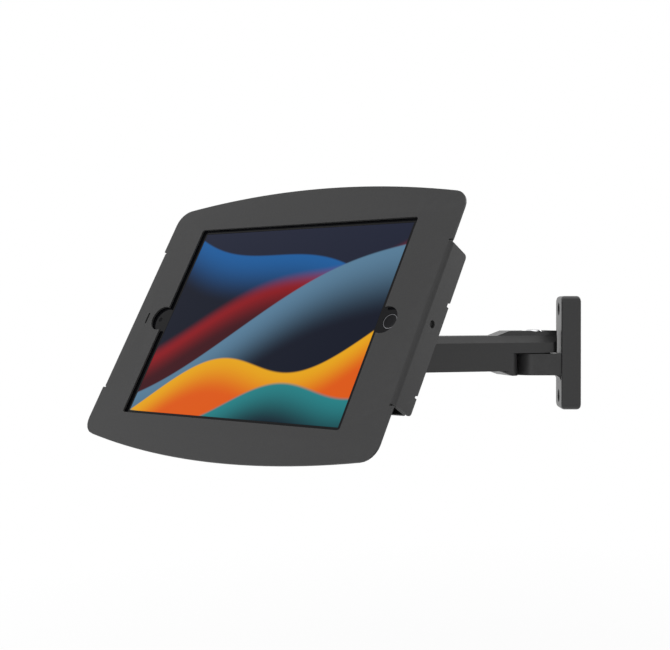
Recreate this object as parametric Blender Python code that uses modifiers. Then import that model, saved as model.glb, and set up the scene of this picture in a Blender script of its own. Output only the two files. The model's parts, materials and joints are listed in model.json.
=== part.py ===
"""Tablet security enclosure on a two-joint wall arm.

The frame's origin is the centre of the wall plate's back face, +Y points into the wall, +Z is up and
the arm reaches out towards -Y. The pieces stand in the pose that the product is shown in: the arm and the
head swung to one side, the tablet tilted back.
"""

import math

import bmesh
import bpy
from mathutils import Matrix, Vector

MM = 0.001

# Pose of the three joints, in degrees
ARM_ANGLE = 18.9
HEAD_ANGLE = 50.9
TILT_ANGLE = 30.5

# Clearances
GAP = 0.3 * MM
LAP_GAP = 0.8 * MM
WASHER_THICK = 0.5 * MM

# Wall bracket
WALL_PLATE_WIDTH = 32.6 * MM
WALL_PLATE_HEIGHT = 89.5 * MM
WALL_PLATE_THICK = 15.4 * MM
WALL_PLATE_CORNER = 5.0 * MM
WALL_PLATE_EDGE = 2.8 * MM
WALL_HOLE_SPACING = 69.0 * MM
WALL_HOLE_R = 3.3 * MM
WALL_SINK_R = 5.3 * MM
WALL_SINK_DEPTH = 3.0 * MM
ROOT_FLARE = 5.0 * MM
ROOT_INSET = 4.0 * MM
HEAD_EDGE = 0.6 * MM

# Links shared by the bracket, the arm and the head
PIVOT_OUT = 35.5 * MM
ARM_LENGTH = 152.0 * MM
LINK_HALF_WIDTH = 15.0 * MM
LINK_TOP = 17.4 * MM
LINK_BOTTOM = -17.7 * MM
END_REACH = 16.0 * MM
END_CORNER = 7.0 * MM
ROUND_END_R = 14.9 * MM
TONGUE_EDGE = 2.2 * MM
LAP_REACH = 20.5 * MM
LAP_CORNER = 13.0 * MM

# Arm section between its raised ends
BAR_TOP = 13.7 * MM
BAR_BOTTOM = -14.0 * MM
BAR_TOP_HALF_WIDTH = 9.8 * MM
BAR_SHOULDER = 8.1 * MM
PAD_END = 25.0 * MM
PAD_RAMP_END = 35.5 * MM
PAD_INSET = 0.1 * MM

# Pivot hardware
BOLT_R = 4.0 * MM
BORE_R = BOLT_R + GAP
BOLT_HEAD_R = 6.8 * MM
BOLT_HEAD_HIGH = 3.4 * MM
BOLT_HEAD_SIDE = 1.7 * MM
BOLT_SEAT = 13.0 * MM
BOLT_SOCKET_R = 2.9 * MM
BOLT_SOCKET_DEEP = 2.2 * MM
BOLT_FOOT_RISE = 1.5 * MM
SEAT_R = BOLT_HEAD_R + 0.8 * MM
DISH_R = 11.5 * MM
DISH_DEPTH = 2.6 * MM
NUT_FLATS_R = 6.5 * MM
NUT_HIGH = 5.0 * MM
NUT_POCKET_R = NUT_FLATS_R + 1.7 * MM
NUT_POCKET_DEEP = NUT_HIGH + 1.0 * MM
WASHER_R = 13.5 * MM

# Head and tilt joint
HEAD_REACH = 46.0 * MM
HEAD_RISE = 3.5 * MM
HEAD_CORNER = 12.0 * MM
NECK_HALF_WIDTH = 11.5 * MM
WEDGE_FLAT = 4.0 * MM
FORK_HALF_WIDTH = 17.5 * MM
FORK_R = 12.0 * MM
FORK_SLOT_ROOM = 1.2 * MM
EAR_HALF_WIDTH = 9.8 * MM
EAR_R = FORK_R
EAR_TOP = 17.0 * MM
EAR_FOOT = -17.0 * MM
EAR_SHOULDER = 15.2 * MM
TILT_BOLT_R = 3.0 * MM
TILT_BORE_R = TILT_BOLT_R + GAP
TILT_HEAD_R = 5.2 * MM
TILT_HEAD_HIGH = 3.2 * MM
TILT_SINK = TILT_HEAD_HIGH + 0.4 * MM
TILT_SOCKET_R = 2.2 * MM
TILT_SOCKET_DEEP = 1.8 * MM
PLATE_STANDOFF = 24.6 * MM

# Tablet
TABLET_HALF_WIDTH = 125.3 * MM
TABLET_HALF_HEIGHT = 87.0 * MM
TABLET_THICK = 7.5 * MM
TABLET_CORNER_R = 12.0 * MM
TABLET_EDGE_R = 3.0 * MM
GLASS_THICK = 0.8 * MM
GLASS_EDGE = 0.15 * MM
BEDDING = 0.1 * MM
DISPLAY_SIDE_BORDER = 21.6 * MM
DISPLAY_END_BORDER = 9.2 * MM
DISPLAY_THICK = 0.6 * MM
DISPLAY_HALF_WIDTH = TABLET_HALF_WIDTH - DISPLAY_SIDE_BORDER
DISPLAY_HALF_HEIGHT = TABLET_HALF_HEIGHT - DISPLAY_END_BORDER
HOME_INSET = 10.8 * MM
HOME_U = TABLET_HALF_WIDTH - HOME_INSET
HOME_R = 5.6 * MM
HOME_THICK = 1.6 * MM
HOME_TRAVEL = 0.4 * MM
HOME_CROWN = 0.25 * MM
HOME_EDGE = 0.4 * MM
FRONT_CAMERA_R = 1.6 * MM
REAR_CAMERA_INSET = 11.5 * MM
REAR_CAMERA_R = 3.4 * MM
REAR_CAMERA_SUNK = 2.0 * MM
REAR_CAMERA_PROUD = 0.2 * MM
REAR_CAMERA = (REAR_CAMERA_INSET - TABLET_HALF_WIDTH, TABLET_HALF_HEIGHT - REAR_CAMERA_INSET)

# Enclosure, in its own frame with the window's centre on the front face
SHEET = 1.5 * MM
SETBACK = 0.8 * MM
TABLET_FACE = SHEET + SETBACK
TABLET_BACK = TABLET_FACE + TABLET_THICK
PAD_ROOM = 6.2 * MM
TRAY_BACK = TABLET_BACK + PAD_ROOM + SHEET
TRAY_SIDE_ROOM = 2.7 * MM
TRAY_END_ROOM = 2.1 * MM
TRAY_HALF_WIDTH = TABLET_HALF_WIDTH + TRAY_SIDE_ROOM + SHEET
TRAY_HALF_HEIGHT = TABLET_HALF_HEIGHT + TRAY_END_ROOM + SHEET
TRAY_CORNER_R = 12.0 * MM
TRAY_BEND = 2.6 * MM
LOCK_SPACE = 15.0 * MM
TAB_REACH = TABLET_HALF_WIDTH + LOCK_SPACE + SHEET

# Front sheet
BEZEL_HALF_WIDTH = TAB_REACH + GAP + SHEET
BEZEL_HALF_HEIGHT = TABLET_HALF_HEIGHT + 24.7 * MM
BOW_R = 775.0 * MM
BEZEL_CORNER_R = 13.0 * MM
WINDOW_SIDE_MARGIN = 4.2 * MM
WINDOW_END_MARGIN = 2.9 * MM
WINDOW_CORNER_R = 2.0 * MM
NOTCH_R = 10.2 * MM
NOTCH_INSET = 3.2 * MM
NOTCH_OUT = HOME_U - NOTCH_INSET
BEND_R = 3.0 * MM
FLANGE_OVERHANG = 1.6 * MM
FLANGE_DEPTH = TRAY_BACK + FLANGE_OVERHANG
FLANGE_HALF = 59.8 * MM
FLANGE_CORNER_R = 2.5 * MM
FLANGE_RELIEF = 1.5 * MM
FLANGE_HOLE_R = 2.6 * MM
FLANGE_HOLE_V = 2.0 * MM
FLANGE_HOLE_W = 9.3 * MM
FLANGE_NOTCH_DEEP = 2.0 * MM
FLANGE_NOTCHES = ((21.4 * MM, 3.5 * MM), (-45.9 * MM, 2.2 * MM))
SLIT_MARGIN = 6.3 * MM
SLIT_U = NOTCH_OUT + NOTCH_R + SLIT_MARGIN
SLIT_LONG = 9.3 * MM
SLIT_WIDE = 1.8 * MM

# Cut-outs of the rear tray
CAMERA_CUT_INSET = 28.3 * MM
CAMERA_CUT_DROP = 23.0 * MM
CAMERA_CUT_R = 8.0 * MM
PORT_CUT_INSET = 1.7 * MM
PORT_CUT_FOOT = 79.0 * MM
TAB_RELIEF = 1.3 * MM
CATCH_SLOT_OUT = 3.3 * MM
CATCH_SLOT_WIDE = 6.8 * MM
CATCH_ARM_LONG = 4.7 * MM
CATCH_ARM_WIDE = 1.4 * MM
CATCH_SLOT_ABOVE = 8.1 * MM
CATCH_SLOT_BELOW = 9.9 * MM
TRAY_HOLE_R = 1.75 * MM
TRAY_HOLE_INSET = 3.5 * MM
TRAY_SLOT_LONG = 5.0 * MM
TRAY_SLOT_WIDE = 1.8 * MM
TRAY_SLOT_INSET = 13.2 * MM

# Foam pads behind the tablet
PAD_HALF_WIDE = 15.0 * MM
PAD_HALF_HIGH = 7.0 * MM
PAD_INSET_U = 45.3 * MM
PAD_INSET_V = 25.0 * MM

# Lock
LOCK_V = -2.1 * MM
LOCK_W = 9.5 * MM
LOCK_HEAD_R = 6.8 * MM
LOCK_HEAD_HIGH = 2.4 * MM
LOCK_EDGE = 0.6 * MM
LOCK_BODY_R = 4.5 * MM
PLUG_R = 3.2 * MM
PLUG_PROUD = 0.2 * MM
PLUG_EDGE = 0.4 * MM
KEY_SLOT_LONG = 4.6 * MM
KEY_SLOT_WIDE = 1.2 * MM
KEY_SLOT_DEEP = 2.0 * MM
LOCK_NUT_R = 6.1 * MM
LOCK_NUT_THICK = 2.2 * MM
LOCK_THREAD_END = 1.0 * MM
LOCK_LONG = SHEET + GAP + LOCK_NUT_THICK + LOCK_THREAD_END
CAM_THICK = 1.6 * MM
CAM_HALF_WIDE = 3.0 * MM
CAM_HUB_R = 4.2 * MM
CAM_REACH = 9.2 * MM

# Mounting plate between the head and the tray
PLATE_DEPTH = 7.2 * MM
PLATE_FACE = TRAY_BACK + GAP + PLATE_DEPTH
PLATE_HALF = 57.5 * MM
PLATE_SKIN = 2.5 * MM
PLATE_WALL = 2.5 * MM
PLATE_CORNER_R = 6.0 * MM
PLATE_EDGE = 2.4 * MM
PLATE_U = 5.7 * MM
PLATE_V = 0.7 * MM
SCREW_PITCH = 50.0 * MM
SMALL_PITCH = 37.5 * MM
SMALL_HOLE_R = 3.0 * MM
BOSS_R = 6.0 * MM
SCREW_R = 2.0 * MM
SCREW_HOLE_R = SCREW_R + GAP
SCREW_HEAD_R = 3.9 * MM
SCREW_HEAD_HIGH = 2.4 * MM
SCREW_SINK_R = SCREW_HEAD_R + 0.8 * MM
SCREW_SINK = 1.0 * MM
SCREW_NUT_R = 3.8 * MM
SCREW_NUT_THICK = 2.4 * MM
SCREW_TIP = 0.4 * MM
SLOT_U = 4.0 * MM
SLOT_TOP = -23.0 * MM
SLOT_FOOT = -54.0 * MM
SLOT_R = 4.0 * MM

# How far a cutter runs past the piece that it cuts
OVER = 5 * MM
FAR = 60 * MM

ROUND = 32
ARC_STEPS = 6


def collection(name):
    made = bpy.data.collections.new(name)
    bpy.context.scene.collection.children.link(made)
    return made


def material(name, colour, roughness, metallic):
    made = bpy.data.materials.new(name)
    made.use_nodes = True
    shader = made.node_tree.nodes["Principled BSDF"]
    shader.inputs["Base Color"].default_value = (*colour, 1.0)
    shader.inputs["Roughness"].default_value = roughness
    shader.inputs["Metallic"].default_value = metallic
    return made


def frame(name, location, turn=(0, 0, 0), parent=None):
    empty = bpy.data.objects.new(name, None)
    PARTS.objects.link(empty)
    empty.parent = parent
    empty.location = location
    empty.rotation_euler = turn
    return empty


def piece(name, mesh, finish, parent, location=(0, 0, 0), turn=(0, 0, 0)):
    """A finished piece of the product, in its frame's coordinates."""
    made = bpy.data.objects.new(name, mesh)
    PARTS.objects.link(made)
    made.parent = parent
    made.location = location
    made.rotation_euler = turn
    if finish:
        mesh.materials.append(finish)
    mesh.shade_smooth()
    mesh.set_sharp_from_angle(angle=math.radians(35))
    return made


def tool(mesh, parent, location=(0, 0, 0), turn=(0, 0, 0)):
    """A hidden solid that cuts, joins or trims a piece."""
    made = bpy.data.objects.new("tool", mesh)
    TOOLS.objects.link(made)
    made.parent = parent
    made.location = location
    made.rotation_euler = turn
    made.hide_render = True
    made.display_type = "WIRE"
    return made


def boolean(target, operation, *others):
    for other in others:
        step = target.modifiers.new(operation.lower(), "BOOLEAN")
        step.operation = operation
        step.solver = "EXACT"
        step.object = other


def cut(target, *others):
    boolean(target, "DIFFERENCE", *others)


def join(target, *others):
    boolean(target, "UNION", *others)


def trim(target, *others):
    boolean(target, "INTERSECT", *others)


def arc(centre, radius, start, end, steps=ARC_STEPS):
    """Points on an arc, with its angles in degrees."""
    points = []
    for i in range(steps + 1):
        a = math.radians(start + (end - start) * i / steps)
        points.append((centre[0] + radius * math.cos(a), centre[1] + radius * math.sin(a)))
    return points


def circle(centre, radius, steps=ROUND):
    return arc(centre, radius, 0, 360 * (steps - 1) / steps, steps - 1)


def rounded(low, high, radius, steps=ARC_STEPS):
    """A rectangle with round corners, anticlockwise; radius is one value or four, from the low corner on."""
    radii = [radius] * 4 if isinstance(radius, (int, float)) else radius
    corners = [(low[0], low[1], 1, 1, 180), (high[0], low[1], -1, 1, 270),
               (high[0], high[1], -1, -1, 0), (low[0], high[1], 1, -1, 90)]
    points = []
    for (x, y, sx, sy, start), r in zip(corners, radii):
        if r > 0:
            points += arc((x + sx * r, y + sy * r), r, start, start + 90, steps)
        else:
            points.append((x, y))
    return points


def flat_curve(outlines, thickness, fill="BOTH"):
    """Closed outlines filled as one flat sheet, and made a mesh."""
    curve = bpy.data.curves.new("outline", "CURVE")
    curve.dimensions = "2D"
    curve.fill_mode = fill
    curve.extrude = thickness / 2
    for outline in outlines:
        spline = curve.splines.new("POLY")
        spline.points.add(len(outline) - 1)
        for point, (x, y) in zip(spline.points, outline):
            point.co = (x, y, 0, 1)
        spline.use_cyclic_u = True
    holder = bpy.data.objects.new("outline", curve)
    bpy.context.scene.collection.objects.link(holder)
    bpy.context.view_layer.update()
    mesh = bpy.data.meshes.new_from_object(holder.evaluated_get(bpy.context.evaluated_depsgraph_get()))
    bpy.data.objects.remove(holder)
    work = bmesh.new()
    work.from_mesh(mesh)
    bmesh.ops.remove_doubles(work, verts=work.verts, dist=0.00001)
    work.to_mesh(mesh)
    work.free()
    return mesh


def slab(outlines, low, high, axis="Z"):
    """A solid with these outlines between two levels along an axis. Along Z the outline is (x, y), along Y
    it is (x, z) and along X it is (y, z)."""
    mesh = flat_curve(outlines, high - low)
    work = bmesh.new()
    work.from_mesh(mesh)
    middle = (low + high) / 2
    if axis == "Z":
        turn = Matrix.Translation((0, 0, middle))
    elif axis == "Y":
        turn = Matrix.Translation((0, middle, 0)) @ Matrix.Rotation(math.radians(90), 4, "X")
    else:
        turn = Matrix(((0, 0, 1, middle), (1, 0, 0, 0), (0, 1, 0, 0), (0, 0, 0, 1)))
    bmesh.ops.transform(work, matrix=turn, verts=work.verts)
    bmesh.ops.recalc_face_normals(work, faces=work.faces)
    work.to_mesh(mesh)
    work.free()
    return mesh


def box(low, high):
    mesh = bpy.data.meshes.new("box")
    work = bmesh.new()
    bmesh.ops.create_cube(work, size=1.0)
    size = Vector(high) - Vector(low)
    bmesh.ops.scale(work, vec=size, verts=work.verts)
    bmesh.ops.translate(work, vec=(Vector(low) + Vector(high)) / 2, verts=work.verts)
    work.to_mesh(mesh)
    work.free()
    return mesh


def rod(radius, low, high, axis="Z", centre=(0, 0), steps=ROUND, top_radius=None):
    """A cylinder or cone between two levels along an axis; centre is in the plane across that axis."""
    mesh = bpy.data.meshes.new("rod")
    work = bmesh.new()
    bmesh.ops.create_cone(work, cap_ends=True, segments=steps, radius1=radius,
                          radius2=radius if top_radius is None else top_radius, depth=high - low)
    middle = (low + high) / 2
    if axis == "Z":
        turn = Matrix.Translation((centre[0], centre[1], middle))
    elif axis == "Y":
        turn = Matrix(((1, 0, 0, centre[0]), (0, 0, 1, middle), (0, -1, 0, centre[1]), (0, 0, 0, 1)))
    else:
        turn = Matrix(((0, 0, 1, middle), (1, 0, 0, centre[0]), (0, 1, 0, centre[1]), (0, 0, 0, 1)))
    bmesh.ops.transform(work, matrix=turn, verts=work.verts)
    work.to_mesh(mesh)
    work.free()
    return mesh


def turned(profile, closed=False, steps=ROUND):
    """A solid turned about Z from (radius, height) points that run down its outer side."""
    mesh = bpy.data.meshes.new("turned")
    work = bmesh.new()
    points = [work.verts.new((r, 0, z)) for r, z in profile]
    for a, b in zip(points, points[1:]):
        work.edges.new((a, b))
    if closed:
        work.edges.new((points[-1], points[0]))
    bmesh.ops.spin(work, geom=work.verts[:] + work.edges[:], cent=(0, 0, 0), axis=(0, 0, 1),
                   angle=math.radians(360), steps=steps, use_duplicate=False)
    bmesh.ops.remove_doubles(work, verts=work.verts, dist=0.000001)
    bmesh.ops.recalc_face_normals(work, faces=work.faces)
    work.to_mesh(mesh)
    work.free()
    return mesh


def soften(target, width, segments=2, angle=40):
    step = target.modifiers.new("edges", "BEVEL")
    step.width = width
    step.segments = segments
    step.limit_method = "ANGLE"
    step.angle_limit = math.radians(angle)
    step.use_clamp_overlap = True


def lap_outline(sign):
    """Plan of the pocket round a neighbour's tongue; sign -1 opens it towards +Y, +1 towards -Y."""
    wide, far = LINK_HALF_WIDTH + OVER, FAR
    half, reach, r = LINK_HALF_WIDTH, LAP_REACH, LAP_CORNER
    right = arc((half - r, sign * (reach + r)), r, 0, -90 * sign)
    left = [(-x, y) for x, y in reversed(right)]
    return [(wide, -sign * far), (wide, sign * (reach + r)), *right, *left,
            (-wide, sign * (reach + r)), (-wide, -sign * far)]


def tongue_plan(start, end):
    """Plan of a link from y = start down to its round end at y = end."""
    half = LINK_HALF_WIDTH
    return rounded((-half, end), (half, start), [ROUND_END_R, ROUND_END_R, 0, 0], 10)


def dish(parent, location):
    """The shallow round hollow and the flat seat that a pivot bolt's head lies in."""
    ball_r = (DISH_R ** 2 + DISH_DEPTH ** 2) / (2 * DISH_DEPTH)
    mesh = bpy.data.meshes.new("dish")
    work = bmesh.new()
    bmesh.ops.create_uvsphere(work, u_segments=ROUND, v_segments=36, radius=ball_r)
    work.to_mesh(mesh)
    work.free()
    x, y = location
    hollow = tool(mesh, parent, (x, y, LINK_TOP + ball_r - DISH_DEPTH))
    seat = tool(rod(SEAT_R, BOLT_SEAT, LINK_TOP + OVER), parent, (x, y, 0))
    return hollow, seat


def pivot_set(prefix, parent, centre, finish):
    """Bolt, washer and nut of a vertical pivot."""
    top = BOLT_SEAT + GAP
    foot = LINK_BOTTOM + BOLT_FOOT_RISE
    crown = top + BOLT_HEAD_HIGH
    r = BOLT_HEAD_R
    profile = [(0, crown), (r * 0.62, crown), (r * 0.86, crown - HEAD_EDGE), (r, top + BOLT_HEAD_SIDE),
               (r, top), (BOLT_R, top), (BOLT_R, foot), (0, foot)]
    bolt = piece(prefix + "_pivot_bolt", turned(profile), finish["steel"], parent, (*centre, 0))
    socket = tool(rod(BOLT_SOCKET_R, crown - BOLT_SOCKET_DEEP, crown + OVER, steps=6), parent, (*centre, 0))
    cut(bolt, socket)
    low = (WASHER_THICK - LAP_GAP) / 2 - WASHER_THICK
    ring = [(BORE_R, low + WASHER_THICK), (WASHER_R, low + WASHER_THICK), (WASHER_R, low), (BORE_R, low)]
    piece(prefix + "_friction_washer", turned(ring, closed=True), finish["washer"], parent, (*centre, 0))
    nut_top = LINK_BOTTOM + NUT_POCKET_DEEP - GAP
    across = NUT_FLATS_R / math.cos(math.radians(30))
    nut = piece(prefix + "_lock_nut", rod(across, nut_top - NUT_HIGH, nut_top, steps=6),
                finish["steel"], parent, (*centre, 0))
    cut(nut, tool(rod(BORE_R, nut_top - 2 * NUT_HIGH, nut_top + NUT_HIGH), parent, (*centre, 0)))


def nut_pocket(parent, centre):
    return tool(rod(NUT_POCKET_R, LINK_BOTTOM - OVER, LINK_BOTTOM + NUT_POCKET_DEEP), parent, (*centre, 0))


def bore(parent, centre):
    return tool(rod(BORE_R, -FAR, FAR), parent, (*centre, 0))


def wall_bracket(finish):
    """The cast plate that screws to the wall, with the lower tongue of the first pivot."""
    half_w, half_h = WALL_PLATE_WIDTH / 2, WALL_PLATE_HEIGHT / 2
    outline = rounded((-half_w, -half_h), (half_w, half_h), WALL_PLATE_CORNER)
    made = piece("wall_bracket", slab([outline], -WALL_PLATE_THICK, 0, "Y"), finish["cast"], WALL)
    soften(made, WALL_PLATE_EDGE, 3)
    top = -LAP_GAP
    plan = tongue_plan(-WALL_PLATE_THICK / 2, -PIVOT_OUT - END_REACH)
    tongue = tool(slab([plan], LINK_BOTTOM, FAR), WALL)
    soften(tongue, TONGUE_EDGE, 2, 60)
    cut(tongue, tool(box((-FAR, -2 * FAR, top), (FAR, FAR, 2 * FAR)), WALL))
    y = -WALL_PLATE_THICK
    foot = LINK_BOTTOM
    rise = ROOT_FLARE / 2
    flare = [(y + OVER, foot + rise), (y + OVER, foot - ROOT_FLARE), (y, foot - ROOT_FLARE),
             *arc((y - ROOT_FLARE, foot - ROOT_FLARE), ROOT_FLARE, 0, 90)[1:], (y - ROOT_FLARE, foot + rise)]
    root = tool(slab([flare], -half_w + ROOT_INSET, half_w - ROOT_INSET, "X"), WALL)
    join(made, tongue, root)
    for side in (-1, 1):
        z = side * WALL_HOLE_SPACING / 2
        cut(made, tool(rod(WALL_HOLE_R, y - OVER, OVER, "Y", (0, z)), WALL))
        slope = (WALL_SINK_R - WALL_HOLE_R) / WALL_SINK_DEPTH
        sink = rod(WALL_SINK_R + slope * GAP, y - GAP, y + WALL_SINK_DEPTH + GAP, "Y", (0, z),
                   top_radius=WALL_HOLE_R - slope * GAP)
        cut(made, tool(sink, WALL))
    cut(made, bore(WALL, (0, -PIVOT_OUT)), nut_pocket(WALL, (0, -PIVOT_OUT)))
    pivot_set("base", WALL, (0, -PIVOT_OUT), finish)


def pad_profile(level, bar_level, start, end, ramp):
    """Side outline (y, z) of a raised pad on the bar, from start to end, ramped at its inner end."""
    inside = bar_level * 0.5
    return [(start, inside), (start, level), (end, level), (ramp, bar_level), (ramp, inside)]


def arm(finish):
    """The cast bar between the pivots, an upper tongue at the wall end and a lower one at the head."""
    length, half, reach = ARM_LENGTH, LINK_HALF_WIDTH, END_REACH
    section = [(-half, BAR_BOTTOM), (half, BAR_BOTTOM), (half, BAR_SHOULDER), (BAR_TOP_HALF_WIDTH, BAR_TOP),
               (-BAR_TOP_HALF_WIDTH, BAR_TOP), (-half, BAR_SHOULDER)]
    far = length + reach
    made = piece("arm", slab([section], -far - OVER, reach + OVER, "Y"), finish["cast"], BASE)
    near, ramp = -PAD_END, -PAD_RAMP_END
    for level, bar_level, wide in ((LINK_TOP, BAR_TOP, BAR_TOP_HALF_WIDTH), (LINK_BOTTOM, BAR_BOTTOM, half)):
        first = pad_profile(level, bar_level, reach + OVER, near, ramp)
        second = pad_profile(level, bar_level, -far - OVER, -length - near, -length - ramp)
        for outline in (first, second):
            join(made, tool(slab([outline], -wide + PAD_INSET, wide - PAD_INSET, "X"), BASE))
    plan = rounded((-half - PAD_INSET, -far), (half + PAD_INSET, reach),
                   [ROUND_END_R, ROUND_END_R, END_CORNER, END_CORNER], 10)
    trim(made, tool(slab([plan], -FAR, FAR), BASE))
    cut(made, tool(slab([lap_outline(-1)], -FAR, 0), BASE))
    upper = [(x, y - length) for x, y in lap_outline(1)]
    cut(made, tool(slab([upper], -LAP_GAP, FAR), BASE))
    cut(made, bore(BASE, (0, 0)), bore(BASE, (0, -length)), nut_pocket(BASE, (0, -length)))
    cut(made, *dish(BASE, (0, 0)))
    pivot_set("elbow", BASE, (0, -length), finish)


def swivel_head(finish):
    """The upper tongue of the second pivot, its neck and the fork of the tilt joint."""
    reach, tip, rise = END_REACH, -HEAD_REACH, HEAD_RISE
    top, foot = LINK_TOP, LINK_BOTTOM
    half, wide, neck = LINK_HALF_WIDTH, FORK_HALF_WIDTH, NECK_HALF_WIDTH
    side = [(reach + OVER, top), (reach + OVER, 0), (-LAP_REACH, 0), (-LAP_REACH, foot),
            (-LAP_REACH - WEDGE_FLAT, foot), *arc((tip, rise), FORK_R, -75, -258, 16), (-END_REACH, top)]
    made = piece("swivel_head", slab([side], -wide - OVER, wide + OVER, "X"), finish["cast"], HEAD)
    r = HEAD_CORNER
    plan = [(-wide, tip - FORK_R - OVER), (wide, tip - FORK_R - OVER), (wide, tip + FORK_R),
            (neck, -LAP_REACH), (half, r - reach), *arc((half - r, reach - r), r, 0, 90, 8),
            *arc((r - half, reach - r), r, 90, 180, 8), (-half, r - reach),
            (-neck, -LAP_REACH), (-wide, tip + FORK_R)]
    trim(made, tool(slab([plan], -FAR, FAR), HEAD))
    gap = EAR_HALF_WIDTH + GAP
    floor = tip + EAR_R + FORK_SLOT_ROOM
    cut(made, tool(box((-gap, tip - FAR, -FAR), (gap, floor, FAR)), HEAD))
    cut(made, tool(rod(TILT_BORE_R, -FAR, FAR, "X", (tip, rise)), HEAD))
    for sign in (-1, 1):
        outer = sign * (wide + OVER)
        inner = sign * (wide - TILT_SINK)
        sink = rod(TILT_HEAD_R + GAP, min(outer, inner), max(outer, inner), "X", (tip, rise))
        cut(made, tool(sink, HEAD))
    cut(made, bore(HEAD, (0, 0)))
    cut(made, *dish(HEAD, (0, 0)))
    tilt_hardware(finish, (0, tip, rise))


def tilt_hardware(finish, place):
    """Bolt and nut across the fork, in the head's frame."""
    seat = FORK_HALF_WIDTH - TILT_SINK + GAP
    crown = seat + TILT_HEAD_HIGH
    end = HEAD_EDGE - crown
    profile = [(0, crown), (TILT_HEAD_R - HEAD_EDGE, crown), (TILT_HEAD_R, crown - HEAD_EDGE),
               (TILT_HEAD_R, seat), (TILT_BOLT_R, seat), (TILT_BOLT_R, end), (0, end)]
    turn = (0, math.radians(-90), 0)
    bolt = piece("tilt_bolt", turned(profile), finish["black_steel"], HEAD, place, turn)
    socket = rod(TILT_SOCKET_R, crown - TILT_SOCKET_DEEP, crown + OVER, steps=6)
    cut(bolt, tool(socket, HEAD, place, turn))
    hexagon = rod(TILT_HEAD_R, -crown, -seat, steps=6)
    nut = piece("tilt_nut", hexagon, finish["black_steel"], HEAD, place, turn)
    cut(nut, tool(rod(TILT_BORE_R, -2 * crown, -seat / 2), HEAD, place, turn))


def cable_slot():
    """Outline, in the plate's frame, of the passage through the plate and the tray behind it."""
    return rounded((SLOT_U - SLOT_R, SLOT_FOOT), (SLOT_U + SLOT_R, SLOT_TOP), SLOT_R * 0.999)


def mounting_plate(finish):
    """The square plate behind the tray and the ear that the fork holds, in the tilt frame."""
    face = -PLATE_STANDOFF
    rim = face - PLATE_DEPTH
    half = PLATE_HALF
    outline = rounded((-half, -half), (half, half), PLATE_CORNER_R)
    made = piece("mounting_plate", slab([outline], rim, face, "Y"), finish["cast"], TILT)
    soften(made, PLATE_EDGE, 3, 60)
    inner = half - PLATE_WALL
    places = [(sx * SCREW_PITCH, sz * SCREW_PITCH) for sx in (-1, 1) for sz in (-1, 1)]
    pocket = [rounded((-inner, -inner), (inner, inner), PLATE_CORNER_R - PLATE_WALL)]
    bosses = [circle(place, BOSS_R, 24) for place in places]
    cut(made, tool(slab(pocket, rim - OVER, face - PLATE_SKIN, "Y"), TILT))
    for outline in bosses:
        join(made, tool(slab([outline], rim + PAD_INSET, face - PLATE_SKIN / 2, "Y"), TILT))
    ear = [(face - PLATE_SKIN / 2, EAR_TOP), (face - PLATE_SKIN / 2, EAR_FOOT),
           *arc((0, 0), EAR_R, -115, 70, 14), (-EAR_SHOULDER, EAR_TOP)]
    join(made, tool(slab([ear], -EAR_HALF_WIDTH, EAR_HALF_WIDTH, "X"), TILT))
    cut(made, tool(rod(TILT_BORE_R, -FAR, FAR, "X"), TILT))
    for x, z in places:
        cut(made, tool(rod(SCREW_HOLE_R, rim - OVER, face + OVER, "Y", (x, z), 20), TILT))
        cut(made, tool(rod(SCREW_SINK_R, face - SCREW_SINK, face + OVER, "Y", (x, z), 24), TILT))
    for sx in (-1, 1):
        for sz in (-1, 1):
            hole = rod(SMALL_HOLE_R, rim - OVER, face + OVER, "Y", (sx * SMALL_PITCH, sz * SMALL_PITCH), 20)
            cut(made, tool(hole, TILT))
    cut(made, tool(slab([cable_slot()], rim - OVER, face + OVER, "Y"), TILT))
    return places


def mounting_screws(finish, places):
    """The four screws and nuts that hold the tray to the plate."""
    face = -PLATE_STANDOFF
    seat = face - SCREW_SINK + GAP
    inside = face - PLATE_FACE + TRAY_BACK - SHEET - GAP
    tip = inside - SCREW_NUT_THICK - SCREW_TIP
    crown = seat + SCREW_HEAD_HIGH
    r = SCREW_HEAD_R
    profile = [(0, crown), (r * 0.5, crown), (r * 0.85, crown - HEAD_EDGE), (r, seat + HEAD_EDGE), (r, seat),
               (SCREW_R, seat), (SCREW_R, tip), (0, tip)]
    ring = [(SCREW_HOLE_R, inside), (SCREW_NUT_R, inside), (SCREW_NUT_R, inside - SCREW_NUT_THICK),
            (SCREW_HOLE_R, inside - SCREW_NUT_THICK)]
    upright = (math.radians(-90), 0, 0)
    for number, (x, z) in enumerate(places, 1):
        place = (x, 0, z)
        screw, nut = turned(profile, steps=20), turned(ring, closed=True, steps=18)
        piece(f"mounting_screw_{number}", screw, finish["steel"], TILT, place, upright)
        piece(f"mounting_nut_{number}", nut, finish["steel"], TILT, place, upright)


def bezel_outline():
    """Outer edge of the front sheet: bowed top and bottom, round corners, and reliefs beside the bends."""
    edge, r = BEZEL_HALF_WIDTH, BEZEL_CORNER_R
    fold = edge - BEND_R
    lean = math.degrees(math.asin((edge - r) / (BOW_R - r)))
    centre_v = BEZEL_HALF_HEIGHT - BOW_R
    corner_v = centre_v + (BOW_R - r) * math.cos(math.radians(lean))
    bow = arc((0, centre_v), BOW_R, 90 - lean, 90 + lean, 24)
    quarter = arc((edge - r, corner_v), r, 0, 90 - lean)
    relief = FLANGE_HALF + FLANGE_RELIEF
    upper = [(fold, FLANGE_HALF), (fold, relief), (edge, relief), *quarter]
    half = upper + bow[1:-1] + [(-u, v) for u, v in reversed(upper)]
    return half + [(-u, -v) for u, v in half]


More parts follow.
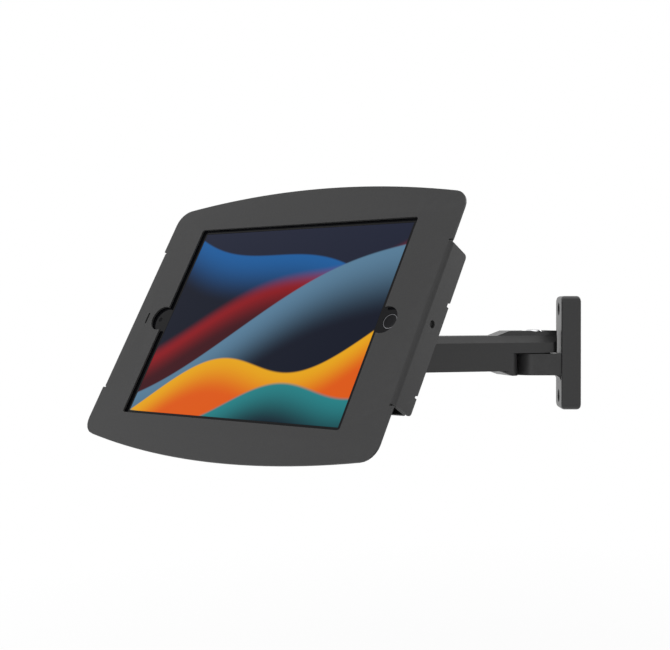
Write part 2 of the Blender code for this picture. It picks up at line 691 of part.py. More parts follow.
def window_outline():
    """The window's edge, with a round notch for the home button and one for the front camera."""
    wide, high = DISPLAY_HALF_WIDTH + WINDOW_SIDE_MARGIN, DISPLAY_HALF_HEIGHT + WINDOW_END_MARGIN
    r = WINDOW_CORNER_R
    swing = math.degrees(math.acos((wide - NOTCH_OUT) / NOTCH_R))
    right = arc((NOTCH_OUT, 0), NOTCH_R, -swing, swing, 14)
    left = [(-u, -v) for u, v in right]
    corner = [arc((sx * (wide - r), sz * (high - r)), r, start, start + 90, 3)
              for sx, sz, start in ((1, 1, 0), (-1, 1, 90), (-1, -1, 180), (1, -1, 270))]
    return right + corner[0] + corner[1] + left + corner[2] + corner[3]


def front_bezel(finish):
    """One folded sheet: the face with its window, and a flange bent back at each side."""
    slit = rounded((-SLIT_U - SLIT_WIDE / 2, -SLIT_LONG / 2), (-SLIT_U + SLIT_WIDE / 2, SLIT_LONG / 2),
                   SLIT_WIDE * 0.49, 3)
    sheet = flat_curve([bezel_outline(), window_outline(), slit], 0, "FRONT")
    work = bmesh.new()
    work.from_mesh(sheet)
    bmesh.ops.transform(work, matrix=Matrix.Rotation(math.radians(90), 4, "X"), verts=work.verts)
    fold, near = BEZEL_HALF_WIDTH - BEND_R, 0.001 * MM
    for side in (-1, 1):
        edges = [e for e in work.edges if e.is_boundary
                 and all(abs(v.co.x - side * fold) < near and abs(v.co.z) < FLANGE_HALF + near
                         for v in e.verts)]
        for step in range(ARC_STEPS):
            edges = extruded(work, edges)
            rim = list({v for e in edges for v in e.verts})
            turn = Matrix.Rotation(math.radians(-side * 90 / ARC_STEPS), 3, "Z")
            bmesh.ops.rotate(work, cent=(side * fold, BEND_R, 0), matrix=turn.inverted(), verts=rim)
        edges = extruded(work, edges)
        rim = list({v for e in edges for v in e.verts})
        bmesh.ops.translate(work, vec=(0, FLANGE_DEPTH - BEND_R, 0), verts=rim)
    bmesh.ops.recalc_face_normals(work, faces=work.faces)
    face = max(work.faces, key=lambda f: f.calc_area())
    if face.normal.y > 0:
        bmesh.ops.reverse_faces(work, faces=work.faces)
    work.to_mesh(sheet)
    work.free()
    made = piece("front_bezel", sheet, finish["coat"], CASE)
    wall = made.modifiers.new("sheet", "SOLIDIFY")
    wall.thickness = SHEET
    wall.offset = -1
    wall.use_even_offset = True
    inside, outside = BEZEL_HALF_WIDTH - OVER, BEZEL_HALF_WIDTH + OVER
    cut(made, tool(rod(FLANGE_HOLE_R, inside, outside, "X", (FLANGE_HOLE_W, FLANGE_HOLE_V), 20), CASE))
    cut(made, tool(rod(LOCK_BODY_R + GAP, -outside, -inside, "X", (LOCK_W, LOCK_V)), CASE))
    deep, high, r = FLANGE_DEPTH, FLANGE_HALF, FLANGE_CORNER_R
    for sign in (-1, 1):
        round_off = [(deep + OVER, sign * (high + OVER)), (deep - r, sign * (high + OVER)),
                     *[(w, sign * v) for w, v in arc((deep - r, high - r), r, 90, 0, 4)],
                     (deep + OVER, sign * (high - r))]
        cut(made, tool(slab([round_off], -outside, outside, "X"), CASE))
    for v, long in FLANGE_NOTCHES:
        low = (inside, deep - FLANGE_NOTCH_DEEP, v - long / 2)
        cut(made, tool(box(low, (outside, deep + OVER, v + long / 2)), CASE))


def extruded(work, edges):
    """Extrudes open edges and gives back the new ones."""
    grown = bmesh.ops.extrude_edge_only(work, edges=edges)["geom"]
    return [g for g in grown if isinstance(g, bmesh.types.BMEdge) and g.is_boundary
            and all(v in grown for v in g.verts)]


def rear_tray(finish, places):
    """The folded pan behind the tablet. A tab at each side lies inside the front sheet's flange, and the
    camera's corner, the port's edge and the lock's catch are cut out."""
    wide, high, tab, back = TRAY_HALF_WIDTH, TRAY_HALF_HEIGHT, TAB_REACH, TRAY_BACK
    front = BEND_R - GAP
    pan = rounded((-wide, -high), (wide, high), TRAY_CORNER_R)
    made = piece("rear_tray", slab([pan], front - OVER, back, "Y"), finish["coat"], CASE)
    soften(made, TRAY_BEND, 3, 60)
    bend = [0, 0, TRAY_BEND, TRAY_BEND]
    tabs = rounded((-tab, front - OVER), (tab, back), bend, 3)
    join(made, tool(slab([tabs], -FLANGE_HALF, FLANGE_HALF), CASE))
    inner_bend = TRAY_BEND - SHEET
    inside = rounded((SHEET - wide, SHEET - high), (wide - SHEET, high - SHEET), TRAY_CORNER_R - SHEET)
    room = tool(slab([inside], front - 2 * OVER, back - SHEET, "Y"), CASE)
    soften(room, inner_bend, 2, 60)
    between = rounded((SHEET - tab, front - 2 * OVER), (tab - SHEET, back - SHEET),
                      [0, 0, inner_bend, inner_bend], 2)
    end = FLANGE_HALF + BEDDING
    cut(made, room, tool(slab([between], -end, end), CASE))
    far = tab + OVER
    cut(made, tool(box((-far, front - 2 * OVER, -high - OVER), (far, front, high + OVER)), CASE))
    step_v = TABLET_HALF_HEIGHT - CAMERA_CUT_DROP
    cut_u, r = TABLET_HALF_WIDTH - CAMERA_CUT_INSET, CAMERA_CUT_R
    low = FLANGE_HALF - TAB_RELIEF
    camera = [(-far, low), (-cut_u - r, low), *arc((-cut_u - r, step_v + r), r, -90, 0),
              (-cut_u, high + OVER), (-far, high + OVER)]
    port_u = TABLET_HALF_WIDTH - PORT_CUT_INSET
    port = rounded((-far, -PORT_CUT_FOOT), (-port_u, -FLANGE_HALF - BEDDING), 0)
    for outline in (camera, port):
        cut(made, tool(slab([outline], -OVER, back + OVER, "Y"), CASE))
    space = LOCK_NUT_R + GAP
    notch_high = (-tab + SHEET + inner_bend, LOCK_W + space, LOCK_V + space)
    cut(made, tool(box((-tab - OVER, -OVER, LOCK_V - space), notch_high), CASE))
    holes = [catch_slot(), circle((TRAY_HOLE_INSET - TABLET_HALF_WIDTH, LOCK_V), TRAY_HOLE_R, 12)]
    slot_u, slot_v = TABLET_HALF_WIDTH - TRAY_SLOT_INSET, TRAY_SLOT_INSET - TABLET_HALF_HEIGHT
    half_long, half_wide = TRAY_SLOT_LONG / 2, TRAY_SLOT_WIDE / 2
    holes.append(rounded((slot_u - half_long, slot_v - half_wide), (slot_u + half_long, slot_v + half_wide),
                         half_wide * 0.99, 3))
    holes += [circle((x + PLATE_U, z + PLATE_V), SCREW_HOLE_R, 20) for x, z in places]
    holes.append([(x + PLATE_U, z + PLATE_V) for x, z in cable_slot()])
    for outline in holes:
        cut(made, tool(slab([outline], back - OVER, back + OVER, "Y"), CASE))


def catch_slot():
    """The bracket-shaped slot that the lock's cam passes through; the tongue between its arms catches it."""
    out = CATCH_SLOT_OUT - BEZEL_HALF_WIDTH
    mid = out + CATCH_SLOT_WIDE
    tip = mid + CATCH_ARM_LONG
    top, foot, arm_wide = LOCK_V + CATCH_SLOT_ABOVE, LOCK_V - CATCH_SLOT_BELOW, CATCH_ARM_WIDE
    return [(out, foot), (tip, foot), (tip, foot + arm_wide), (mid, foot + arm_wide), (mid, top - arm_wide),
            (tip, top - arm_wide), (tip, top), (out, top)]


def tablet(finish):
    """The tablet held in the enclosure: shell, glass, display, button and lenses."""
    wide, high, r = TABLET_HALF_WIDTH, TABLET_HALF_HEIGHT, TABLET_CORNER_R
    face, back = TABLET_FACE, TABLET_BACK
    outline = rounded((-wide, -high), (wide, high), r, 8)
    glass_back = face + GLASS_THICK
    shell = piece("tablet_shell", slab([outline], glass_back + BEDDING, back, "Y"), finish["aluminium"], CASE)
    soften_back(shell, outline, back)
    lens = rod(REAR_CAMERA_R + BEDDING, back - REAR_CAMERA_SUNK, back + OVER, "Y", REAR_CAMERA, 24)
    cut(shell, tool(lens, CASE))
    room = HOME_THICK + HOME_TRAVEL + GAP
    cut(shell, tool(rod(HOME_R + GAP, face, face + room, "Y", (HOME_U, 0)), CASE))
    shown = rounded((-DISPLAY_HALF_WIDTH, -DISPLAY_HALF_HEIGHT), (DISPLAY_HALF_WIDTH, DISPLAY_HALF_HEIGHT), 0)
    glass = piece("tablet_glass", slab([outline, shown, circle((HOME_U, 0), HOME_R + GAP),
                                        circle((-HOME_U, 0), FRONT_CAMERA_R + BEDDING, 16)],
                                       face, glass_back, "Y"), finish["black_glass"], CASE)
    soften(glass, GLASS_EDGE, 1, 60)
    inset, sunk = BEDDING, face + BEDDING
    panel = rounded((-DISPLAY_HALF_WIDTH + inset, -DISPLAY_HALF_HEIGHT + inset),
                    (DISPLAY_HALF_WIDTH - inset, DISPLAY_HALF_HEIGHT - inset), 0)
    piece("tablet_display", slab([panel], sunk, sunk + DISPLAY_THICK, "Y"), finish["display"], CASE)
    piece("front_camera_lens", rod(FRONT_CAMERA_R, sunk, glass_back, "Y", (-HOME_U, 0), 16),
          finish["black_glass"], CASE)
    low, high = back - REAR_CAMERA_SUNK + BEDDING, back + REAR_CAMERA_PROUD
    rear_lens = rod(REAR_CAMERA_R, low, high, "Y", REAR_CAMERA, 24)
    piece("rear_camera_lens", rear_lens, finish["black_glass"], CASE)
    button = [(0, HOME_CROWN), (HOME_R * 0.6, HOME_CROWN / 2), (HOME_R - HOME_EDGE, 0), (HOME_R, -HOME_EDGE),
              (HOME_R, -HOME_THICK), (0, -HOME_THICK)]
    upright = (math.radians(90), 0, 0)
    piece("home_button", turned(button), finish["black_glass"], CASE, (HOME_U, face, 0), upright)


def soften_back(target, outline, back):
    """Rounds the tablet's rear edge by trimming it with a slab whose edges are round."""
    form = tool(slab([outline], -FAR, back, "Y"), CASE)
    soften(form, TABLET_EDGE_R, 4, 60)
    trim(target, form)


def foam_pads(finish):
    """Four pads between the tablet's back and the tray."""
    near, far = TABLET_BACK + GAP, TRAY_BACK - SHEET - GAP
    number = 0
    for sx in (-1, 1):
        for sz in (-1, 1):
            number += 1
            u, v = sx * (TABLET_HALF_WIDTH - PAD_INSET_U), sz * (TABLET_HALF_HEIGHT - PAD_INSET_V)
            pad = box((u - PAD_HALF_WIDE, near, v - PAD_HALF_HIGH),
                      (u + PAD_HALF_WIDE, far, v + PAD_HALF_HIGH))
            piece(f"foam_pad_{number}", pad, finish["foam"], CASE)


def lock(finish):
    """The cylinder lock in the side flange, its nut, and the plug and cam that turn."""
    out = -BEZEL_HALF_WIDTH
    head = LOCK_HEAD_HIGH
    inner = PLUG_R + GAP
    ring = [(inner, head), (LOCK_HEAD_R - LOCK_EDGE, head), (LOCK_HEAD_R, head - LOCK_EDGE),
            (LOCK_HEAD_R, GAP), (LOCK_BODY_R, GAP), (LOCK_BODY_R, -LOCK_LONG), (inner, -LOCK_LONG)]
    turn = (0, math.radians(-90), 0)
    place = (out, LOCK_W, LOCK_V)
    piece("lock_housing", turned(ring, closed=True), finish["chrome"], CASE, place, turn)
    low = -SHEET - GAP - LOCK_NUT_THICK
    nut_ring = [(LOCK_BODY_R + GAP, -SHEET - GAP), (LOCK_NUT_R, -SHEET - GAP), (LOCK_NUT_R, low),
                (LOCK_BODY_R + GAP, low)]
    piece("lock_nut", turned(nut_ring, closed=True, steps=24), finish["steel"], CASE, place, turn)
    axis = frame("lock_axis", place, turn, CASE)
    high = head + PLUG_PROUD
    plug = [(0, high), (PLUG_R - PLUG_EDGE, high), (PLUG_R, high - PLUG_EDGE), (PLUG_R, -LOCK_LONG - GAP),
            (0, -LOCK_LONG - GAP)]
    made = piece("lock_plug", turned(plug), finish["chrome"], axis)
    key = box((-KEY_SLOT_WIDE / 2, -KEY_SLOT_LONG / 2, high - KEY_SLOT_DEEP),
              (KEY_SLOT_WIDE / 2, KEY_SLOT_LONG / 2, high + OVER))
    cut(made, tool(key, axis))
    w = CAM_HALF_WIDE
    cam = [*arc((0, 0), CAM_HUB_R, 220, 320, 8), *arc((0, CAM_REACH - w), w, 0, 180, 8)]
    top = -LOCK_LONG - 2 * GAP
    piece("lock_cam", slab([cam], top - CAM_THICK, top), finish["steel"], axis)


def clear_scene():
    for item in list(bpy.data.objects):
        bpy.data.objects.remove(item)


clear_scene()
PARTS = collection("tablet_security_enclosure")
TOOLS = collection("cutters")
FINISH = {
    "cast": material("cast_black", (0.028, 0.028, 0.029), 0.5, 0.0),
    "coat": material("powder_coat_black", (0.03, 0.03, 0.031), 0.6, 0.0),
    "steel": material("bright_steel", (0.62, 0.62, 0.63), 0.25, 1.0),
    "black_steel": material("black_steel", (0.03, 0.03, 0.03), 0.4, 0.8),
    "washer": material("friction_washer", (0.02, 0.02, 0.02), 0.7, 0.0),
    "chrome": material("lock_chrome", (0.75, 0.75, 0.76), 0.15, 1.0),
    "aluminium": material("tablet_aluminium", (0.16, 0.165, 0.17), 0.35, 0.9),
    "black_glass": material("black_glass", (0.01, 0.01, 0.012), 0.08, 0.0),
    "display": material("display", (0.05, 0.12, 0.25), 0.1, 0.0),
    "foam": material("foam", (0.02, 0.02, 0.02), 0.95, 0.0),
}
WALL = frame("wall_frame", (0, 0, 0))
BASE = frame("base_pivot_axis", (0, -PIVOT_OUT, 0), (0, 0, math.radians(ARM_ANGLE)))
ELBOW = (ARM_LENGTH * math.sin(math.radians(ARM_ANGLE)),
         -PIVOT_OUT - ARM_LENGTH * math.cos(math.radians(ARM_ANGLE)))
HEAD = frame("elbow_pivot_axis", (*ELBOW, 0), (0, 0, math.radians(HEAD_ANGLE)))
TILT = frame("tilt_axis", (0, -HEAD_REACH, HEAD_RISE), (math.radians(-TILT_ANGLE), 0, 0), HEAD)
CASE = frame("window_centre", (-PLATE_U, -PLATE_STANDOFF - PLATE_FACE, -PLATE_V), (0, 0, 0), TILT)

wall_bracket(FINISH)
arm(FINISH)
swivel_head(FINISH)
SCREW_PLACES = mounting_plate(FINISH)
mounting_screws(FINISH, SCREW_PLACES)
front_bezel(FINISH)
rear_tray(FINISH, SCREW_PLACES)
tablet(FINISH)
foam_pads(FINISH)
lock(FINISH)
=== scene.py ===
"""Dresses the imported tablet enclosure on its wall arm: finer surfaces, finishes, light and the camera.

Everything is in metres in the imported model's frame: the wall plate's back face is at the origin, the arm
reaches towards -Y and +Z is up. The pieces of the enclosure are modelled lying square in the frame of the
window and are then set in their place.
"""

from __future__ import annotations

import json
import logging
import math
from dataclasses import dataclass
from enum import Enum
from typing import Callable

import bpy
from bpy.types import Material, Mesh, Node, NodeSocket, NodeTree, Object
from mathutils import Euler, Matrix, Vector

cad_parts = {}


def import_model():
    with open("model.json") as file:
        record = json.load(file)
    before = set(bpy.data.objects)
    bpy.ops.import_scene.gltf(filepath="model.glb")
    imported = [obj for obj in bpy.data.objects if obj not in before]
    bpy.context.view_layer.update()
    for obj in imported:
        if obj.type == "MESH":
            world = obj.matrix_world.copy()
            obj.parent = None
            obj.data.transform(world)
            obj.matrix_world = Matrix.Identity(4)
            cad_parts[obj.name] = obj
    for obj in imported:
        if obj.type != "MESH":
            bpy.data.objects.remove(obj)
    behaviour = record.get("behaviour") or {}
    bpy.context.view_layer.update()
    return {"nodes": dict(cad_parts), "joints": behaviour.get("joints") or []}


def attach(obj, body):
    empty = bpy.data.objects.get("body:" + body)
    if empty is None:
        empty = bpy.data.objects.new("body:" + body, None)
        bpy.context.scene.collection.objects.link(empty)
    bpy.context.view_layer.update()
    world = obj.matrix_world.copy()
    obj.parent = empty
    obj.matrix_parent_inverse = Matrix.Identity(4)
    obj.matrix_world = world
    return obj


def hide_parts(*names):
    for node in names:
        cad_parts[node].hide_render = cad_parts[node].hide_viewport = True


LOG = logging.getLogger("enclosure")
MM = 0.001
MERGE_REACH = 0.008 * MM
OVERLAP = 1.0 * MM
FINE_EDGE = 0.12 * MM
ALONG = 0.99
FLAT_ANGLE = 0.6
BEVEL_ANGLE = 32
SHARP_ANGLE = 40
SHADE_ANGLE = 35
DOME_ANGLE = 40
Colour = tuple[float, float, float]
Point = tuple[float, float, float]
Span = tuple[float, float]
Steps = tuple[Span, ...]
Test = Callable[[Vector, Vector], bool]


class Body(Enum):
    """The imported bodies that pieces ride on."""

    WALL = "wall"
    ARM = "swing_arm"
    HEAD = "head"
    CASE = "enclosure"
    LOCK = "lock_core"
    BUTTON = "button"


class Slot(Enum):
    """The record's material slots."""

    CAST = "cast_black"
    COAT = "powder_coat_black"
    STEEL = "bright_steel"
    BLACK_STEEL = "black_steel"
    WASHER = "friction_washer"
    CHROME = "lock_chrome"
    ALUMINIUM = "tablet_aluminium"
    GLASS = "black_glass"
    DISPLAY = "display"
    FOAM = "foam"


class Join(Enum):
    """How another shape is joined with a piece."""

    CUT = "DIFFERENCE"
    ADD = "UNION"


def stand(spot: Point, angle: float, axis: str) -> Matrix:
    """Gives the matrix that turns by degrees about an axis and then moves to a spot."""
    return Matrix.Translation(spot) @ Matrix.Rotation(math.radians(angle), 4, axis)


@dataclass(frozen=True)
class Stance:
    """The angles and distances that carry the square enclosure to its place in the stored pose."""

    arm_angle: float = 18.9
    head_angle: float = 50.9
    tilt_angle: float = 30.5
    plate_u: float = 5.7 * MM
    plate_v: float = 0.7 * MM
    window_out: float = 49.6 * MM

    def pivot(self, joint: dict, angle: float) -> Matrix:
        """Gives the matrix from the frame of an upright pivot, swung by some degrees, to the part's."""
        return stand(joint["pos_m"], angle, "Z")

    def tilt(self, joint: dict) -> Matrix:
        """Gives the matrix from the frame of the tilting plate to the part's."""
        turn = Euler((math.radians(-self.tilt_angle), 0, math.radians(self.head_angle))).to_matrix().to_4x4()
        return Matrix.Translation(joint["pos_m"]) @ turn

    def case(self, joint: dict) -> Matrix:
        """Gives the matrix from the window's frame, with x along it and y into the depth, to the part's."""
        return self.tilt(joint) @ Matrix.Translation((-self.plate_u, -self.window_out, -self.plate_v))


def upward(middle: Vector, normal: Vector) -> bool:
    """Picks the faces that look straight up."""
    return normal.z > ALONG


def downward(middle: Vector, normal: Vector) -> bool:
    """Picks the faces that look straight down."""
    return normal.z < -ALONG


@dataclass(frozen=True)
class Look:
    """A material with the record's slot that it belongs to."""

    material: Material
    slot: Slot


class Shape:
    """A mesh that is modelled with Blender's own operators."""

    def __init__(self, piece: Object) -> None:
        """Keeps the mesh object that is being modelled."""
        self.piece = piece

    @staticmethod
    def clear() -> None:
        """Leaves edit mode and deselects everything."""
        if bpy.context.object and bpy.context.object.mode != "OBJECT":
            bpy.ops.object.mode_set(mode="OBJECT")
        bpy.ops.object.select_all(action="DESELECT")

    @classmethod
    def added(cls, name: str) -> Shape:
        """Takes up the primitive that an operator has just added.

        Args:
            name: The piece's name.

        Returns:
            The shape.
        """
        piece = bpy.context.object
        piece.name = piece.data.name = name
        bpy.ops.object.transform_apply(location=True, rotation=True, scale=True)
        return cls(piece)

    @classmethod
    def cylinder(cls, name: str, radius: float, low: float, high: float, sides: int = 48) -> Shape:
        """Adds an upright cylinder.

        Args:
            name: The piece's name.
            radius: Its radius.
            low: The level of its lower face.
            high: The level of its upper face.
            sides: How many sides stand for the circle.

        Returns:
            The shape.
        """
        cls.clear()
        bpy.ops.mesh.primitive_cylinder_add(vertices=sides, radius=radius, depth=high - low,
                                            location=(0, 0, (low + high) / 2))
        return cls.added(name)

    @classmethod
    def block(cls, name: str, low: Point, high: Point) -> Shape:
        """Adds a block between two corners.

        Args:
            name: The piece's name.
            low: The lowest corner.
            high: The highest corner.

        Returns:
            The shape.
        """
        cls.clear()
        size = Vector(high) - Vector(low)
        bpy.ops.mesh.primitive_cube_add(size=1, location=(Vector(low) + Vector(high)) / 2, scale=size)
        return cls.added(name)

    @classmethod
    def copied(cls, name: str, node: Object) -> Shape:
        """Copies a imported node's mesh and joins its loose triangles into clean faces.

        Args:
            name: The piece's name.
            node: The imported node.

        Returns:
            The shape.
        """
        cls.clear()
        piece = bpy.data.objects.new(name, node.data.copy())
        piece.data.materials.clear()
        bpy.context.scene.collection.objects.link(piece)
        return cls(piece).cleaned()

    def hold(self) -> None:
        """Makes the piece the active one and the only one that is selected."""
        self.clear()
        self.piece.select_set(True)
        bpy.context.view_layer.objects.active = self.piece

    def edit(self, edges: bool = False) -> None:
        """Opens the piece in edit mode.

        Args:
            edges: Whether edges are picked there, and not faces.
        """
        self.hold()
        bpy.context.tool_settings.mesh_select_mode = (False, edges, not edges)
        bpy.ops.object.mode_set(mode="EDIT")

    def unpicked(self) -> Mesh:
        """Leaves edit mode with nothing of the piece picked.

        Returns:
            The piece's mesh.
        """
        self.clear()
        mesh = self.piece.data
        for items in (mesh.vertices, mesh.edges, mesh.polygons):
            items.foreach_set("select", [False] * len(items))
        return mesh

    def pick(self, test: Test) -> Shape:
        """Opens the piece in edit mode with some of its faces picked.

        Args:
            test: Says of a face's centre and normal whether it is picked.

        Returns:
            The same shape.
        """
        mesh = self.unpicked()
        mesh.polygons.foreach_set("select", [test(face.center, face.normal) for face in mesh.polygons])
        self.edit()
        return self

    def pick_edges(self, test: Test) -> Shape:
        """Opens the piece in edit mode with some of its edges picked.

        Args:
            test: Says of an edge's middle and direction whether it is picked.

        Returns:
            The same shape.
        """
        mesh = self.unpicked()
        ends = [[mesh.vertices[i].co for i in edge.vertices] for edge in mesh.edges]
        mesh.edges.foreach_set("select", [test((a + b) / 2, (b - a).normalized()) for a, b in ends])
        self.edit(edges=True)
        return self

    def inset(self, thickness: float, depth: float = 0) -> Shape:
        """Insets the picked faces and moves them along their normals."""
        bpy.ops.mesh.inset(thickness=thickness, depth=depth, use_even_offset=True)
        return self

    def extrude(self, step: Point) -> Shape:
        """Extrudes the picked faces by a step."""
        bpy.ops.mesh.extrude_region_move(TRANSFORM_OT_translate={"value": step})
        return self

    def stepped(self, steps: Steps, scale: float = 1.0) -> Shape:
        """Insets the upper face step by step, and leaves edit mode.

        Args:
            steps: How far in and how far out each step goes.
            scale: What they are multiplied by.

        Returns:
            The same shape.
        """
        self.pick(upward)
        for thickness, depth in steps:
            self.inset(thickness * scale, depth * scale)
        return self.done()

    def bevel(self, width: float, segments: int = 3) -> Shape:
        """Bevels what is picked, in some steps, and leaves edit mode."""
        bpy.ops.mesh.bevel(offset=width, segments=segments, affect="EDGES")
        return self.done()

    def moved(self, place: Callable[[Vector], Vector]) -> Shape:
        """Moves the piece's points one by one.

        Args:
            place: Says where a point goes.

        Returns:
            The same shape.
        """
        for vertex in self.piece.data.vertices:
            vertex.co = place(vertex.co)
        return self

    def sliced(self, point: Point, normal: Point) -> Shape:
        """Cuts away what lies beyond a plane and closes the cut.

        Args:
            point: A point of the plane.
            normal: The direction of what is cut away.

        Returns:
            The same shape.
        """
        self.edit()
        bpy.ops.mesh.select_all(action="SELECT")
        bpy.ops.mesh.bisect(plane_co=point, plane_no=normal, use_fill=True, clear_outer=True)
        return self.done()

    def done(self) -> Shape:
        """Leaves edit mode."""
        bpy.ops.object.mode_set(mode="OBJECT")
        return self

    def apply(self, kind: str, **values: object) -> Shape:
        """Adds a modifier and applies it.

        Args:
            kind: The modifier's type.
            **values: Its settings.

        Returns:
            The same shape.
        """
        self.hold()
        modifier = self.piece.modifiers.new(kind.lower(), kind)
        for key, value in values.items():
            setattr(modifier, key, value)
        bpy.ops.object.modifier_apply(modifier=modifier.name)
        return self

    def edges(self, width: float, segments: int = 3, angle: float = BEVEL_ANGLE) -> Shape:
        """Rounds every edge that is sharper than an angle in degrees."""
        return self.apply("BEVEL", width=width, segments=segments, limit_method="ANGLE",
                          angle_limit=math.radians(angle), use_clamp_overlap=True, miter_outer="MITER_ARC")

    def combine(self, other: Shape, how: Join) -> Shape:
        """Cuts another shape out of this one or adds it, and removes the other object.

        Args:
            other: The other shape.
            how: Whether it is cut out or added.

        Returns:
            The same shape.
        """
        self.apply("BOOLEAN", operation=how.value, solver="EXACT", object=other.piece)
        bpy.data.objects.remove(other.piece)
        return self

    def cleaned(self) -> Shape:
        """Merges doubled points and dissolves lines that lie within flat faces.

        Returns:
            The same shape.
        """
        self.edit()
        bpy.ops.mesh.select_all(action="SELECT")
        bpy.ops.mesh.remove_doubles(threshold=MERGE_REACH)
        bpy.ops.mesh.select_all(action="SELECT")
        bpy.ops.mesh.dissolve_limited(angle_limit=math.radians(FLAT_ANGLE))
        return self.done()

    def smooth(self, angle: float = SHADE_ANGLE) -> Shape:
        """Shades the piece smooth up to an angle, with its large flat faces left flat.

        Args:
            angle: The angle in degrees.

        Returns:
            The same shape.
        """
        self.hold()
        bpy.ops.object.shade_smooth_by_angle(angle=math.radians(angle))
        return self.apply("WEIGHTED_NORMAL", keep_sharp=True)

    def set_in(self, place: Matrix) -> Shape:
        """Carries the mesh to its place in the part's frame.

        Args:
            place: The matrix from the frame that it was modelled in.

        Returns:
            The same shape.
        """
        self.clear()
        self.piece.data.transform(place)
        return self

    def dress(self, look: Look, body: Body, *nodes: str) -> Object:
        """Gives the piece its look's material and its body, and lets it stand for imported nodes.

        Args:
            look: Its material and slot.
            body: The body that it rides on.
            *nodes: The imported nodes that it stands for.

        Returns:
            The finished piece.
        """
        self.clear()
        self.piece.data.materials.clear()
        self.piece.data.materials.append(look.material)
        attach(self.piece, body.value)
        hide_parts(*nodes)
        LOG.info("%s: %d faces on %s", self.piece.name, len(self.piece.data.polygons), body.value)
        return self.piece


class Tree:
    """A node tree that is wired in a few words."""

    def __init__(self, tree: NodeTree) -> None:
        """Keeps the material's or the group's tree."""
        self.tree = tree

    def add(self, kind: str, **values: object) -> Node:
        """Adds a node.

        Args:
            kind: The node's type without its ShaderNode prefix.
            **values: Its settings.

        Returns:
            The node.
        """
        node = self.tree.nodes.new("ShaderNode" + kind)
        for key, value in values.items():
            setattr(node, key, value)
        return node

    def link(self, source: NodeSocket, target: NodeSocket) -> None:
        """Joins two sockets."""
        self.tree.links.new(source, target)

    def feed(self, target: NodeSocket, value: object) -> None:
        """Joins a socket to a target, or sets the target to a plain value.

        Args:
            target: The socket that takes it.
            value: A socket, or a plain value.
        """
        if isinstance(value, NodeSocket):
            self.link(value, target)
        else:
            target.default_value = value

    def maths(self, operation: str, first: object, second: object = 0.0, third: object = 0.0) -> NodeSocket:
        """Adds a Math node.

        Args:
            operation: What it does.
            first: Its first value or socket.
            second: Its second value or socket.
            third: Its third value or socket.

        Returns:
            Its output.
        """
        node = self.add("Math", operation=operation)
        for socket, value in zip(node.inputs, (first, second, third)):
            self.feed(socket, value)
        return node.outputs[0]

    def blend(self, share: object, first: object, second: object) -> NodeSocket:
        """Mixes two colours.

        Args:
            share: How much of the second one shows.
            first: The colour at 0.
            second: The colour at 1.

        Returns:
            The mixed colour.
        """
        node = self.add("Mix", data_type="RGBA")
        self.feed(node.inputs["Factor"], share)
        self.feed(node.inputs["A"], first)
        self.feed(node.inputs["B"], second)
        return node.outputs["Result"]

    def noise(self, place: NodeSocket, scale: object, detail: float) -> NodeSocket:
        """Adds a noise texture.

        Args:
            place: The coordinates.
            scale: Its scale, a value or a socket.
            detail: Its detail.

        Returns:
            Its factor.
        """
        node = self.add("TexNoise")
        self.link(place, node.inputs["Vector"])
        self.feed(node.inputs["Scale"], scale)
        node.inputs["Detail"].default_value = detail
        return node.outputs["Fac"]

    def window(self, value: NodeSocket, low: float, high: float, to_low: float = 0.0,
               to_high: float = 1.0) -> NodeSocket:
        """Maps a range of values on another and clamps it.

        Args:
            value: The value.
            low: Where the range starts.
            high: Where it ends.
            to_low: What its start becomes.
            to_high: What its end becomes.

        Returns:
            The mapped value.
        """
        node = self.add("MapRange", clamp=True)
        for key, number in (("From Min", low), ("From Max", high), ("To Min", to_low), ("To Max", to_high)):
            node.inputs[key].default_value = number
        self.link(value, node.inputs["Value"])
        return node.outputs["Result"]

    def sight(self, *rays: str) -> NodeSocket:
        """Tells some kinds of ray from the others.

        Args:
            *rays: The Light Path node's outputs for them.

        Returns:
            1 for those rays and 0 for others.
        """
        path = self.add("LightPath")
        seen = path.outputs[rays[0]]
        for ray in rays[1:]:
            seen = self.maths("MAXIMUM", seen, path.outputs[ray])
        return seen


